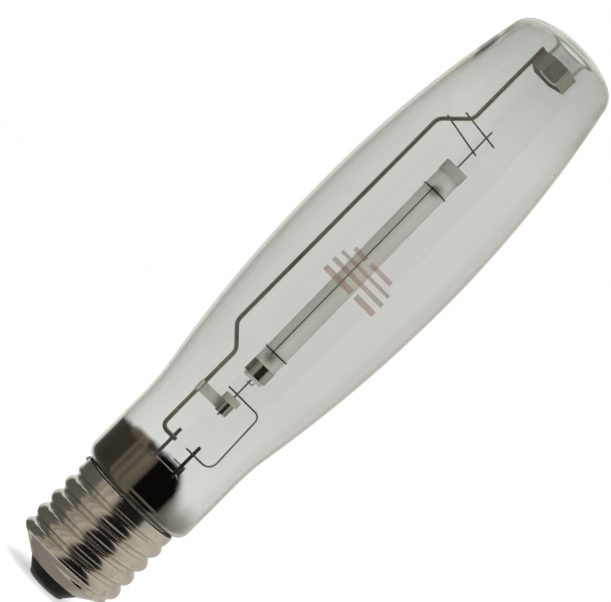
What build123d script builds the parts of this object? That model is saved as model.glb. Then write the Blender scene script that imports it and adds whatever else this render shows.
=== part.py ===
from build123d import *
import os
from math import acos, atan2, cos, degrees, hypot, radians, sin, sqrt, tan

# High pressure sodium lamp: an elongated glass bulb with a dimpled dome on a screw base.
# Millimetres and degrees. +Z runs up the lamp from the middle of the contact's outer face.
# The side rod stands on the -X side and the lead posts lie in the XZ plane.

# Clearances
FUSED_GAP = 0.02
WELD_GAP = 0.03
FIT_GAP = 0.06

# Screw shell, rolled from one sheet
SHELL_SHEET = 0.4
SHELL_LIP_RADIUS = 10.9
SHELL_LIP_Z = 5.0
SHELL_CONE_SLOPE = 1.5
SHELL_SHOULDER_RADIUS = 4.5
SHELL_RIM_RADIUS = 18.95
SHELL_RIM_Z = 39.9
THREAD_PITCH = 6.35
THREAD_CREST_RADIUS = 19.55
THREAD_DEPTH = 1.6
THREAD_START_Z = 1.6
THREAD_FADE_IN = 3.0
THREAD_FADE_OUT = 2.4
RIM_BAND = 2.7

# Base insulator and contact
CONTACT_RADIUS = 7.3
CONTACT_THICKNESS = 1.5
CONTACT_EDGE_RADIUS = 1.1
CONTACT_HOLE_RADIUS = 1.6
CONTACT_NECK_WALL = 0.5
CONTACT_NECK_HEIGHT = 4.0
SOLDER_RECESS = 0.15
SOLDER_HEIGHT = 1.9
INSULATOR_TOP_Z = 10.5
INSULATOR_INNER_RADIUS = 15.0
INSULATOR_FOOT_MARGIN = 0.4

# Bulb, sizes of its outer (air side) surface
GLASS_WALL = 0.9
TAIL_RADIUS = 16.2
TAIL_BOTTOM_Z = 24.0
TAIL_FILLET = 0.6
NECK_FOOT_Z = 40.5
NECK_RADIUS = 21.5
NECK_SHOULDER_RADIUS = 4.6
NECK_BLEND_RADIUS = 80.0
BULB_RADIUS = 28.9
BULB_WIDEST_Z = 157.5
LOWER_BULGE_RADIUS = 470.0
UPPER_BULGE_RADIUS = 398.0
DOME_CORNER_RADIUS = 8.0
CROWN_RADIUS = 37.0
CROWN_Z = 247.7
DIMPLE_RADIUS = 4.95
DIMPLE_LIP_RADIUS = 4.0
DIMPLE_DEPTH = 14.3
DIMPLE_FLOOR_FILLET = 2.5

# Stem: flare, tube and flat press
FLARE_WALL = 1.1
STEM_RADIUS = 7.0
STEM_TUBE_TOP_Z = 42.0
PRESS_FOOT_Z = 49.0
PRESS_TOP_Z = 55.6
PRESS_WIDTH = 13.4
PRESS_THICKNESS = 4.6
PRESS_CORNER_RADIUS = 1.8
STEM_CAVITY_RISE = 3.5
EXHAUST_RADIUS = 2.5
EXHAUST_WALL = 0.7
EXHAUST_TIP_Z = 14.5

# Leads through the press and down to the base
POST_SPACING = 8.8
POST_RADIUS = 0.62
POST_RISE = 12.0
POST_BOTTOM_Z = 43.0
CENTRE_LEAD_RADIUS = 0.35
CENTRE_LEAD_BEND_Z = (15.0, 9.0)
SIDE_LEAD_RADIUS = 0.2
SIDE_LEAD_LOW_Z = 21.2
LEAD_BEND_RADIUS = 1.0
SIDE_SOLDER_RADIUS = 0.7
SIDE_SOLDER_DROP = 0.5
CEMENT_BOTTOM_Z = 31.0
CEMENT_TOP_INSET = 0.25
CEMENT_FADE_STEPS = 8
CEMENT_LAG = 0.8

# Side rod, from its foot on the frame post up past the arc tube to the dimple clip: its foot
# rises from the press, its jogs from the arc tube's lower and upper end
ROD_RADIUS = 0.74
ROD_FOOT_OVERRUN = 1.45
ROD_FOOT_RISE = 8.4
ROD_LOWER_X = -9.65
ROD_OUT_RISE = (2.1, 9.1)
ROD_OUTER_X = -16.2
ROD_BACK_RISE = (7.3, 15.4)
ROD_TIP_OVERRUN = 0.2
ROD_FOOT_BEND = 2.4
ROD_JOG_BEND = 3.9

# Dimple clip: strip bent round the dimple, with the direction each flat faces and its slack
CLIP_THICKNESS = 0.3
CLIP_HEIGHT = 6.3
CLIP_DROP = 1.1
CLIP_DIRECTIONS = (168.1, 217.0, 270.0, 327.0, 26.8, 96.5)
CLIP_SLACKS = (0.46, 0.32, 1.15, 0.17, 0.05, 3.15)
CLIP_LAP_MARGIN = 0.3
CLIP_LAP_ROUNDING = 1.6

# Arc tube group, on its own slightly leaning axis
ARC_CENTRE_X = 0.15
ARC_CENTRE_Z = 143.65
ARC_LEAN = 0.6
TUBE_LENGTH = 94.5
TUBE_RADIUS = 4.25
TUBE_WALL = 0.7
PLUG_DEPTH = 5.0
PLUG_COLLAR_RADIUS = 3.66
LOWER_COLLAR_HEIGHT = 1.35
UPPER_COLLAR_HEIGHT = 0.3
NIOBIUM_RADIUS = 0.32
NIOBIUM_SEAT_DEPTH = 2.6
UPPER_LEAD_LENGTH = 16.7
LOWER_LEAD_LENGTH = 17.3
ELECTRODE_RADIUS = 0.3
ELECTRODE_REACH = 7.0
COIL_WIRE_RADIUS = 0.2
COIL_PITCH = 0.62
COIL_HEIGHT = 2.6
COIL_TIP_MARGIN = 0.8
BAND_SHEET = 0.15
UPPER_BAND_HEIGHT = 4.2
UPPER_BAND_OVERHANG = 0.4
LOWER_BAND_HEIGHT = 4.95
LOWER_BAND_OVERHANG = 0.0
AID_LOOP_INSET = 10.25
AID_WIRE_RADIUS = 0.18
AID_LOOP_WIRE_RADIUS = 0.24
AID_WIRE_ANGLE = 256.0
AID_END_OVERRUN = 1.0
DOSE_RADIUS = 0.75
DOSE_OFFSET = 2.3

# Sliding bush that holds the lower lead
BUSH_FLANGE_RADIUS = 3.17
BUSH_FLANGE_HEIGHT = 2.45
BUSH_FLANGE_TOP_DROP = 9.45
BUSH_BODY_RADIUS = 1.85
BUSH_BODY_HEIGHT = 4.4
BUSH_BORE_CLEARANCE = 0.08
SLEEVE_WALL = 0.3
STRAP_THICKNESS = 0.3
STRAP_WIDTH = 3.9
STRAP_START_ANGLE = 285.0
STRAP_END_ANGLE = -20.0

# Tie wires from the rod to the upper lead: rise of each end above the arc tube, and overruns
TIE_RADIUS = 0.32
LOWER_TIE_RISE = (9.95, 7.7)
LOWER_TIE_OVERRUN = (1.4, 1.6)
UPPER_TIE_RISE = (14.7, 13.9)
UPPER_TIE_OVERRUN = (2.6, 4.1)

# Feed wire loop: x of its corners, its foot above the press and its top under the arc tube
FEED_RADIUS = 0.33
FEED_CORNERS_X = (1.3, 12.0, 11.2, -3.1)
FEED_FOOT_RISE = 8.7
FEED_TOP_DROP = 8.0
FEED_BENDS = (3.4, 2.3)

# Stop wire across the lower lead, as (x, z) corners from the plug's face
STOP_RADIUS = 0.2
STOP_ROUTE = ((-0.9, -1.25), (1.6, -1.25), (1.6, -0.03))
STOP_BEND = 0.5

# Getter
GETTER_RADIUS = 1.8
GETTER_BORE_RADIUS = 1.0
GETTER_WIDTH = 0.85
GETTER_WIRE_RADIUS = 0.2
GETTER_WIRE_START_X = 0.7
GETTER_WIRE_RISE = 3.5

# Drawing fineness of the lofted thread: samples per pitch of height, sections per half turn
THREAD_SAMPLES = 12
THREAD_SECTIONS = 10

# Values that follow from the sizes above
DIMPLE_FLOOR_Z = CROWN_Z - DIMPLE_DEPTH
CLIP_BOTTOM_Z = DIMPLE_FLOOR_Z - CLIP_DROP
GETTER_WIRE_Z = PRESS_TOP_Z + GETTER_WIRE_RISE
ROD_Y = -(POST_RADIUS + ROD_RADIUS + WELD_GAP)
POST_X = POST_SPACING / 2
DIMPLE_SKIN_RADIUS = DIMPLE_RADIUS + GLASS_WALL
THREAD_MID_RADIUS = THREAD_CREST_RADIUS - THREAD_DEPTH / 2
TUBE_END = TUBE_LENGTH / 2
TUBE_BOTTOM_Z = ARC_CENTRE_Z - TUBE_END
TUBE_TOP_Z = ARC_CENTRE_Z + TUBE_END
TUBE_BORE_RADIUS = TUBE_RADIUS - TUBE_WALL
ARC_FRAME = Pos(ARC_CENTRE_X, 0, ARC_CENTRE_Z) * Rot(0, -ARC_LEAN, 0)


# Small geometry helpers


def smoothstep(value, start, end):
    """Ease from 0 at start to 1 at end."""
    share = min(max((value - start) / (end - start), 0.0), 1.0)
    return share * share * (3 - 2 * share)


def circles_meet(centre_a, radius_a, centre_b, radius_b):
    """Return the upper one of the two points where two circles meet."""
    gap_x = centre_b[0] - centre_a[0]
    gap_z = centre_b[1] - centre_a[1]
    gap = hypot(gap_x, gap_z)
    along = (radius_a**2 - radius_b**2 + gap**2) / (2 * gap)
    across = sqrt(radius_a**2 - along**2)
    foot_x = centre_a[0] + gap_x * along / gap
    foot_z = centre_a[1] + gap_z * along / gap
    side = 1 if gap_x > 0 else -1
    return foot_x - side * gap_z * across / gap, foot_z + side * gap_x * across / gap


def bearing(start, end):
    """Return the direction in degrees from one (x, z) point to another."""
    return degrees(atan2(end[1] - start[1], end[0] - start[0]))


def arc(centre, radius, start, end):
    """Return an arc of a circle between two directions."""
    return CenterArc(centre, radius, start, end - start)


def revolved(*lines):
    """Turn a closed outline of (r, z) lines about the Z axis."""
    face = Plane.XZ * make_face(Curve() + list(lines))
    return revolve(face, axis=Axis.Z).solid()


def turned(*points):
    """Turn a closed polygon of (r, z) points about the Z axis."""
    return revolved(Polyline(*points, close=True))


def tube(radius, bore, bottom, top):
    """Return a straight tube or, with no bore, a rod along Z."""
    body = extrude(Pos(0, 0, bottom) * Circle(radius), top - bottom)
    if bore > 0:
        body -= extrude(Pos(0, 0, bottom) * Circle(bore), top - bottom)
    return body.solid()


def bent_wire(points, bends, radius):
    """Sweep round wire along straight runs joined by bends."""
    route = FilletPolyline(*points, radius=bends)
    section = Plane(origin=route @ 0, z_dir=route % 0) * Circle(radius)
    return sweep(section, path=route).solid()


def straight_wire(start, end, radius):
    """Return a straight round wire between two points."""
    run = Vector(end) - Vector(start)
    section = Plane(origin=start, z_dir=run) * Circle(radius)
    return extrude(section, run.length).solid()


def arc_axis_x(z):
    """Return where the arc tube's leaning axis passes at a height."""
    return ARC_CENTRE_X - (z - ARC_CENTRE_Z) * tan(radians(ARC_LEAN))


# Bulb


def bulb_line(inset):
    """Return the bulb's line from tail to dimple centre, inset into the glass from the air side."""
    lower_centre = (BULB_RADIUS - LOWER_BULGE_RADIUS, BULB_WIDEST_Z)
    upper_centre = (BULB_RADIUS - UPPER_BULGE_RADIUS, BULB_WIDEST_Z)
    crown_centre = (0.0, CROWN_Z - CROWN_RADIUS)
    blend_x = NECK_RADIUS + NECK_BLEND_RADIUS
    blend_reach = LOWER_BULGE_RADIUS + NECK_BLEND_RADIUS
    blend_drop = sqrt(blend_reach**2 - (blend_x - lower_centre[0]) ** 2)
    blend_centre = (blend_x, BULB_WIDEST_Z - blend_drop)
    corner_centre = circles_meet(
        upper_centre,
        UPPER_BULGE_RADIUS - DOME_CORNER_RADIUS,
        crown_centre,
        CROWN_RADIUS - DOME_CORNER_RADIUS,
    )
    lip_x = DIMPLE_RADIUS + DIMPLE_LIP_RADIUS
    lip_rise = sqrt((CROWN_RADIUS - DIMPLE_LIP_RADIUS) ** 2 - lip_x**2)
    lip_centre = (lip_x, crown_centre[1] + lip_rise)
    tail_centre = (TAIL_RADIUS + TAIL_FILLET, NECK_FOOT_Z - TAIL_FILLET)
    shoulder_centre = (NECK_RADIUS - NECK_SHOULDER_RADIUS, NECK_FOOT_Z + NECK_SHOULDER_RADIUS)
    floor_x = DIMPLE_RADIUS - DIMPLE_FLOOR_FILLET
    floor_centre = (floor_x, DIMPLE_FLOOR_Z + DIMPLE_FLOOR_FILLET)
    to_lower = bearing(lower_centre, blend_centre)
    to_corner = bearing(upper_centre, corner_centre)
    to_crown = bearing(crown_centre, corner_centre)
    to_lip = bearing(crown_centre, lip_centre)
    tail_x = TAIL_RADIUS - inset
    foot_z = NECK_FOOT_Z + inset
    dimple_x = DIMPLE_RADIUS + inset
    return [
        Line((tail_x, TAIL_BOTTOM_Z), (tail_x, tail_centre[1])),
        arc(tail_centre, TAIL_FILLET + inset, 180, 90),
        Line((tail_centre[0], foot_z), (shoulder_centre[0], foot_z)),
        arc(shoulder_centre, NECK_SHOULDER_RADIUS - inset, -90, 0),
        Line((NECK_RADIUS - inset, shoulder_centre[1]), (NECK_RADIUS - inset, blend_centre[1])),
        arc(blend_centre, NECK_BLEND_RADIUS + inset, 180, bearing(blend_centre, lower_centre)),
        arc(lower_centre, LOWER_BULGE_RADIUS - inset, to_lower, 0),
        arc(upper_centre, UPPER_BULGE_RADIUS - inset, 0, to_corner),
        arc(corner_centre, DOME_CORNER_RADIUS - inset, to_corner, to_crown),
        arc(crown_centre, CROWN_RADIUS - inset, to_crown, to_lip),
        arc(lip_centre, DIMPLE_LIP_RADIUS - inset, to_lip, 180),
        Line((dimple_x, lip_centre[1]), (dimple_x, floor_centre[1])),
        arc(floor_centre, DIMPLE_FLOOR_FILLET + inset, 0, -90),
        Line((floor_x, DIMPLE_FLOOR_Z - inset), (0, DIMPLE_FLOOR_Z - inset)),
    ]


def make_outer_bulb():
    """Blown glass bulb, one wall thickness all round, open only at the tail."""
    tail = Line((TAIL_RADIUS - GLASS_WALL, TAIL_BOTTOM_Z), (TAIL_RADIUS, TAIL_BOTTOM_Z))
    floor = Line((0, DIMPLE_FLOOR_Z - GLASS_WALL), (0, DIMPLE_FLOOR_Z))
    return revolved(*bulb_line(0), floor, *bulb_line(GLASS_WALL), tail)


def make_stem():
    """Glass flare fused to the bulb's tail, its tube, and the flat press that seals the leads."""
    flange_inner = TAIL_RADIUS - GLASS_WALL - FUSED_GAP
    flare_radius = flange_inner - STEM_RADIUS
    flare_centre = (flange_inner, TAIL_BOTTOM_Z + flare_radius)
    bore = STEM_RADIUS - FLARE_WALL
    under_z = TAIL_BOTTOM_Z - FLARE_WALL
    flare = revolved(
        Line((STEM_RADIUS, STEM_TUBE_TOP_Z), (STEM_RADIUS, flare_centre[1])),
        arc(flare_centre, flare_radius, 180, 270),
        Line((flange_inner, TAIL_BOTTOM_Z), (TAIL_RADIUS, TAIL_BOTTOM_Z)),
        Line((TAIL_RADIUS, TAIL_BOTTOM_Z), (TAIL_RADIUS, under_z)),
        Line((TAIL_RADIUS, under_z), (flange_inner, under_z)),
        arc(flare_centre, flare_radius + FLARE_WALL, 270, 180),
        Line((bore, flare_centre[1]), (bore, STEM_TUBE_TOP_Z)),
        Line((bore, STEM_TUBE_TOP_Z), (STEM_RADIUS, STEM_TUBE_TOP_Z)),
    )
    half = PRESS_THICKNESS / 2
    pinch = [
        Line((half, PRESS_FOOT_Z), (half, PRESS_TOP_Z)),
        Line((half, PRESS_TOP_Z), (0, PRESS_TOP_Z)),
        Line((0, PRESS_TOP_Z), (0, STEM_TUBE_TOP_Z)),
        Line((0, STEM_TUBE_TOP_Z), (STEM_RADIUS, STEM_TUBE_TOP_Z)),
        Spline((STEM_RADIUS, STEM_TUBE_TOP_Z), (half, PRESS_FOOT_Z), tangents=[(0, 1), (0, 1)]),
    ]
    side_face = make_face(Curve() + pinch)
    side_face += mirror(side_face, about=Plane.YZ)
    press = extrude(Plane.YZ * side_face, STEM_RADIUS, both=True)
    front_height = 2 * (PRESS_TOP_Z - STEM_TUBE_TOP_Z)
    front_face = RectangleRounded(PRESS_WIDTH, front_height, PRESS_CORNER_RADIUS)
    front = extrude(Plane.XZ.offset(-STEM_RADIUS) * Pos(0, STEM_TUBE_TOP_Z) * front_face, 2 * STEM_RADIUS)
    press = press & front & tube(STEM_RADIUS, 0, STEM_TUBE_TOP_Z, PRESS_TOP_Z)
    roof_centre, roof_radius = stem_roof()
    cavity = revolved(
        arc(roof_centre, roof_radius, bearing(roof_centre, (bore, STEM_TUBE_TOP_Z)), 90),
        Line((0, STEM_TUBE_TOP_Z + STEM_CAVITY_RISE), (0, STEM_TUBE_TOP_Z)),
        Line((0, STEM_TUBE_TOP_Z), (bore, STEM_TUBE_TOP_Z)),
    )
    stem = flare + press - cavity
    for side in (-1, 1):
        stem -= Pos(side * POST_X, 0, 0) * tube(POST_RADIUS + FUSED_GAP, 0, STEM_TUBE_TOP_Z, PRESS_TOP_Z)
    return stem.solid()


def stem_roof():
    """Return the centre and radius of the round roof inside the stem tube."""
    bore = STEM_RADIUS - FLARE_WALL
    radius = (bore**2 + STEM_CAVITY_RISE**2) / (2 * STEM_CAVITY_RISE)
    return (0.0, STEM_TUBE_TOP_Z + STEM_CAVITY_RISE - radius), radius


def make_exhaust_tube():
    """Glass pumping tube inside the flare, tipped off round at its lower end."""
    roof_centre, roof_radius = stem_roof()
    top_z = roof_centre[1] + sqrt(roof_radius**2 - EXHAUST_RADIUS**2) - FIT_GAP
    bore = EXHAUST_RADIUS - EXHAUST_WALL
    tip_centre = (0, EXHAUST_TIP_Z + EXHAUST_RADIUS)
    return revolved(
        arc(tip_centre, EXHAUST_RADIUS, -90, 0),
        Line((EXHAUST_RADIUS, tip_centre[1]), (EXHAUST_RADIUS, top_z)),
        Line((EXHAUST_RADIUS, top_z), (bore, top_z)),
        Line((bore, top_z), (bore, tip_centre[1])),
        arc(tip_centre, bore, 0, -90),
        Line((0, tip_centre[1] - bore), (0, EXHAUST_TIP_Z)),
    )


# Screw base


def knuckle_wave(turns):
    """Return the thread's wave, 1 on a crest and -1 in a root, made of arcs of one radius."""
    quarter = THREAD_PITCH / 4
    rise = THREAD_DEPTH / 2
    arc_radius = (quarter**2 + rise**2) / THREAD_DEPTH
    reach = abs((turns + 0.5) % 1.0 - 0.5) * THREAD_PITCH
    if reach <= quarter:
        return 1 - (arc_radius - sqrt(arc_radius**2 - reach**2)) / rise
    reach = 2 * quarter - reach
    return (arc_radius - sqrt(arc_radius**2 - reach**2)) / rise - 1


def shell_shoulder():
    """Return the shoulder arc's centre and the height where the cone runs into it."""
    steep = hypot(SHELL_CONE_SLOPE, 1)
    centre_r = THREAD_MID_RADIUS - SHELL_SHOULDER_RADIUS
    meet_r = centre_r + SHELL_SHOULDER_RADIUS / steep
    meet_z = SHELL_LIP_Z + (meet_r - SHELL_LIP_RADIUS) / SHELL_CONE_SLOPE
    centre_z = meet_z + SHELL_SHOULDER_RADIUS * SHELL_CONE_SLOPE / steep
    return centre_r, centre_z, meet_z


def shell_base_radius(z):
    """Return the shell's radius without its thread: cone, shoulder, wall and plain rim band."""
    centre_r, centre_z, meet_z = shell_shoulder()
    if z <= meet_z:
        return SHELL_LIP_RADIUS + (z - SHELL_LIP_Z) * SHELL_CONE_SLOPE
    if z < centre_z:
        return centre_r + sqrt(SHELL_SHOULDER_RADIUS**2 - (centre_z - z) ** 2)
    band_z = SHELL_RIM_Z - RIM_BAND
    swell = smoothstep(z, band_z - THREAD_FADE_OUT, band_z)
    return THREAD_MID_RADIUS + (SHELL_RIM_RADIUS - THREAD_MID_RADIUS) * swell


def thread_height(z):
    """Return the thread's half depth at a height, faded out at both ends."""
    start = shell_shoulder()[2] - THREAD_FADE_IN / 2
    band_z = SHELL_RIM_Z - RIM_BAND
    fade_in = smoothstep(z, start, start + THREAD_FADE_IN)
    fade_out = 1 - smoothstep(z, band_z - THREAD_FADE_OUT, band_z)
    return THREAD_DEPTH / 2 * fade_in * fade_out


def shell_radius(z, turn):
    """Return the shell's outer radius at a height and a share of a turn, as a right-hand thread."""
    wave = knuckle_wave((z - THREAD_START_Z) / THREAD_PITCH - turn)
    return shell_base_radius(z) + thread_height(z) * wave


def shell_section(turn):
    """Return the rolled sheet's closed outline in the radial plane at a share of a turn."""
    count = round((SHELL_RIM_Z - SHELL_LIP_Z) / THREAD_PITCH * THREAD_SAMPLES)
    step = (SHELL_RIM_Z - SHELL_LIP_Z) / count
    shares = [index / count for index in range(count + 1)]
    outer = []
    inner = []
    for index in range(count + 1):
        z = SHELL_LIP_Z + step * index
        radius = shell_radius(z, turn)
        slope = (shell_radius(z + step / 8, turn) - shell_radius(z - step / 8, turn)) / (step / 4)
        length = hypot(1, slope)
        outer.append((radius, z))
        inner.append((radius - SHELL_SHEET / length, z + SHELL_SHEET * slope / length))
    angle = radians(360 * turn)
    plane = Plane(origin=(0, 0, 0), x_dir=(cos(angle), sin(angle), 0), z_dir=(sin(angle), -cos(angle), 0))
    edges = [
        Edge.make_spline(outer, parameters=shares),
        Edge.make_line(outer[-1], inner[-1]),
        Edge.make_spline(inner, parameters=shares),
        Edge.make_line(inner[0], outer[0]),
    ]
    return plane * Wire(edges)


def make_screw_shell():
    """Rolled sheet shell with a right-hand knuckle thread inside and out, lofted in two halves."""
    halves = []
    for start in (0.0, 0.5):
        turns = [start + 0.5 * index / THREAD_SECTIONS for index in range(THREAD_SECTIONS + 1)]
        halves.append(Solid.make_loft([shell_section(turn) for turn in turns]))
    return (halves[0] + halves[1]).solid()


def shell_clear_radius(z):
    """Return the largest radius that stays inside the shell's roots at a height."""
    return shell_base_radius(z) - thread_height(z) - SHELL_SHEET - FIT_GAP


def make_basing_cement():
    """Cement ring that holds the glass tail in the shell, with a channel for the side lead."""
    inner = TAIL_RADIUS + FUSED_GAP
    top_z = SHELL_RIM_Z - CEMENT_TOP_INSET
    band_z = SHELL_RIM_Z - RIM_BAND
    fade_step = THREAD_FADE_OUT / CEMENT_FADE_STEPS
    fading = [band_z - step * fade_step for step in range(CEMENT_FADE_STEPS, -1, -1)]
    outer = [(shell_clear_radius(z - CEMENT_LAG), z) for z in [CEMENT_BOTTOM_Z, *fading, top_z]]
    ring = turned((inner, CEMENT_BOTTOM_Z), *outer, (inner, top_z))
    channel_width = 2 * SIDE_LEAD_RADIUS + 2 * FIT_GAP
    channel_depth = side_lead_radius() + SIDE_LEAD_RADIUS + FIT_GAP
    height = top_z - CEMENT_BOTTOM_Z
    channel_place = Pos(-channel_depth / 2, 0, CEMENT_BOTTOM_Z + height / 2)
    channel = channel_place * Box(channel_depth, channel_width, height)
    return (ring - channel).solid()


def make_base_insulator():
    """Moulded glass body that carries the contact and grips the shell's lip."""
    steep = hypot(SHELL_CONE_SLOPE, 1)
    clear = SHELL_SHEET + FIT_GAP
    lip_r = SHELL_LIP_RADIUS - clear / steep
    lip_z = SHELL_LIP_Z + clear * SHELL_CONE_SLOPE / steep
    inner_z = lip_z + (INSULATOR_INNER_RADIUS - lip_r) / SHELL_CONE_SLOPE
    foot_r = CONTACT_RADIUS + INSULATOR_FOOT_MARGIN
    bore = CONTACT_HOLE_RADIUS + CONTACT_NECK_WALL + FUSED_GAP
    return turned(
        (bore, CONTACT_THICKNESS),
        (foot_r, CONTACT_THICKNESS),
        (lip_r, SHELL_LIP_Z),
        (lip_r, lip_z),
        (INSULATOR_INNER_RADIUS, inner_z),
        (INSULATOR_INNER_RADIUS, INSULATOR_TOP_Z),
        (bore, INSULATOR_TOP_Z),
    )


def make_centre_contact():
    """Stamped contact eyelet: a flat disc with a rounded edge and a neck up into the insulator."""
    hole = CONTACT_HOLE_RADIUS
    neck = hole + CONTACT_NECK_WALL
    edge_x = CONTACT_RADIUS - CONTACT_EDGE_RADIUS
    neck_top = CONTACT_THICKNESS + CONTACT_NECK_HEIGHT
    return revolved(
        Line((hole, 0), (edge_x, 0)),
        arc((edge_x, CONTACT_EDGE_RADIUS), CONTACT_EDGE_RADIUS, -90, 0),
        Line((CONTACT_RADIUS, CONTACT_EDGE_RADIUS), (CONTACT_RADIUS, CONTACT_THICKNESS)),
        Line((CONTACT_RADIUS, CONTACT_THICKNESS), (neck, CONTACT_THICKNESS)),
        Line((neck, CONTACT_THICKNESS), (neck, neck_top)),
        Line((neck, neck_top), (hole, neck_top)),
        Line((hole, neck_top), (hole, 0)),
    )


def make_contact_solder():
    """Solder that fills the eyelet and joins the centre lead to it."""
    return tube(CONTACT_HOLE_RADIUS - FUSED_GAP, 0, SOLDER_RECESS, SOLDER_HEIGHT)


# Leads


def make_lead_post(side):
    """Stiff wire through the press on one side of the lamp, -1 or +1."""
    return Pos(side * POST_X, 0, 0) * tube(POST_RADIUS, 0, POST_BOTTOM_Z, PRESS_TOP_Z + POST_RISE)


def make_centre_lead():
    """Soft lead from the return post down past the exhaust tip to the contact."""
    high_z, low_z = CENTRE_LEAD_BEND_Z
    points = [(POST_X, 0, POST_BOTTOM_Z), (POST_X, 0, high_z), (0, 0, low_z), (0, 0, SOLDER_HEIGHT)]
    return bent_wire(points, LEAD_BEND_RADIUS, CENTRE_LEAD_RADIUS)


def side_lead_radius():
    """Return how far from the axis the side lead climbs beside the tail."""
    return TAIL_RADIUS + SIDE_LEAD_RADIUS + 2 * FIT_GAP


def side_lead_end():
    """Return the x and z where the side lead turns down outside the shell's rim."""
    outside_x = -(SHELL_RIM_RADIUS + SIDE_LEAD_RADIUS + WELD_GAP)
    return outside_x, SHELL_RIM_Z + SIDE_LEAD_RADIUS + FIT_GAP


def make_side_lead():
    """Soft lead from the frame post, under the flare, up beside the tail and out over the rim."""
    climb_x = -side_lead_radius()
    outside_x, over_z = side_lead_end()
    points = [
        (-POST_X, 0, POST_BOTTOM_Z),
        (-POST_X, 0, SIDE_LEAD_LOW_Z),
        (climb_x, 0, SIDE_LEAD_LOW_Z),
        (climb_x, 0, over_z),
        (outside_x, 0, over_z),
        (outside_x, 0, SHELL_RIM_Z - SIDE_SOLDER_DROP),
    ]
    bends = (LEAD_BEND_RADIUS, LEAD_BEND_RADIUS, SIDE_LEAD_RADIUS * 2, SIDE_LEAD_RADIUS * 1.2)
    return bent_wire(points, bends, SIDE_LEAD_RADIUS)


def make_side_solder():
    """Solder bead that joins the side lead to the outside of the rim."""
    outside_x = side_lead_end()[0]
    end_z = SHELL_RIM_Z - SIDE_SOLDER_DROP
    bead = Pos(-SHELL_RIM_RADIUS, 0, end_z - SIDE_LEAD_RADIUS) * Sphere(SIDE_SOLDER_RADIUS)
    bead -= tube(SHELL_RIM_RADIUS + WELD_GAP, 0, 0, CROWN_Z)
    bead -= Pos(outside_x, 0, 0) * tube(SIDE_LEAD_RADIUS + FUSED_GAP, 0, end_z, CROWN_Z)
    bead -= tube(SHELL_RIM_RADIUS + 2 * SIDE_SOLDER_RADIUS, 0, SHELL_RIM_Z, CROWN_Z)
    return bead.solid()


# Frame


def clip_corners(depth):
    """Return the clip's corners at a depth into the strip, 0 on its outside."""
    flats = []
    for direction, slack in zip(CLIP_DIRECTIONS, CLIP_SLACKS):
        away = DIMPLE_SKIN_RADIUS + slack + CLIP_THICKNESS - depth
        flats.append((cos(radians(direction)), sin(radians(direction)), away))
    corners = []
    for (ax, ay, a), (bx, by, b) in zip(flats, flats[1:] + flats[:1]):
        turn = ax * by - ay * bx
        corners.append(((a * by - b * ay) / turn, (b * ax - a * bx) / turn))
    return corners


def rod_upper_x():
    """Return the x of the rod's upper run, beside the clip's first corner."""
    return clip_corners(0)[0][0] - ROD_RADIUS - WELD_GAP


def make_side_rod():
    """Bent rod that carries the arc tube and reaches up to the dimple."""
    upper_x = rod_upper_x()
    foot_z = PRESS_TOP_Z + ROD_FOOT_RISE
    route = [
        (-POST_X + ROD_FOOT_OVERRUN, foot_z),
        (ROD_LOWER_X, foot_z),
        (ROD_LOWER_X, TUBE_BOTTOM_Z + ROD_OUT_RISE[0]),
        (ROD_OUTER_X, TUBE_BOTTOM_Z + ROD_OUT_RISE[1]),
        (ROD_OUTER_X, TUBE_TOP_Z + ROD_BACK_RISE[0]),
        (upper_x, TUBE_TOP_Z + ROD_BACK_RISE[1]),
        (upper_x, CLIP_BOTTOM_Z + CLIP_HEIGHT + ROD_TIP_OVERRUN),
    ]
    points = [(x, ROD_Y, z) for x, z in route]
    return bent_wire(points, [ROD_FOOT_BEND] + [ROD_JOG_BEND] * 4, ROD_RADIUS)


def make_dimple_clip():
    """Strip bent round the dimple, its end lapped over the front flat with rounded corners."""
    corners = clip_corners(0)
    outside = make_face(Polyline(*corners, close=True))
    inside = make_face(Polyline(*clip_corners(CLIP_THICKNESS), close=True))
    ring = extrude(Pos(0, 0, CLIP_BOTTOM_Z) * (outside - inside), CLIP_HEIGHT)
    left, right = Vector(corners[1]), Vector(corners[2])
    middle = (left + right) / 2
    lap_face = Plane(
        origin=(middle.X, middle.Y, CLIP_BOTTOM_Z + CLIP_HEIGHT / 2),
        x_dir=(1, 0, 0),
        z_dir=(0, -1, 0),
    )
    lap_width = (right - left).length - 2 * CLIP_LAP_MARGIN
    lap_height = CLIP_HEIGHT - 2 * CLIP_LAP_MARGIN
    lap = extrude(lap_face * RectangleRounded(lap_width, lap_height, CLIP_LAP_ROUNDING), CLIP_THICKNESS)
    return (ring + lap).solid()


def make_tie_wire(rises, overruns):
    """Straight wire welded in front of the rod's upper jog and of the upper lead."""
    rod_z, lead_z = TUBE_TOP_Z + rises[0], TUBE_TOP_Z + rises[1]
    jog_share = (rises[0] - ROD_BACK_RISE[0]) / (ROD_BACK_RISE[1] - ROD_BACK_RISE[0])
    rod_x = ROD_OUTER_X + (rod_upper_x() - ROD_OUTER_X) * jog_share
    rod_y = ROD_Y - ROD_RADIUS - TIE_RADIUS - WELD_GAP
    lead_y = -(NIOBIUM_RADIUS + TIE_RADIUS + WELD_GAP)
    on_rod = Vector(rod_x, rod_y, rod_z)
    on_lead = Vector(arc_axis_x(lead_z), lead_y, lead_z)
    along = (on_lead - on_rod).normalized()
    return straight_wire(on_rod - along * overruns[0], on_lead + along * overruns[1], TIE_RADIUS)


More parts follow.
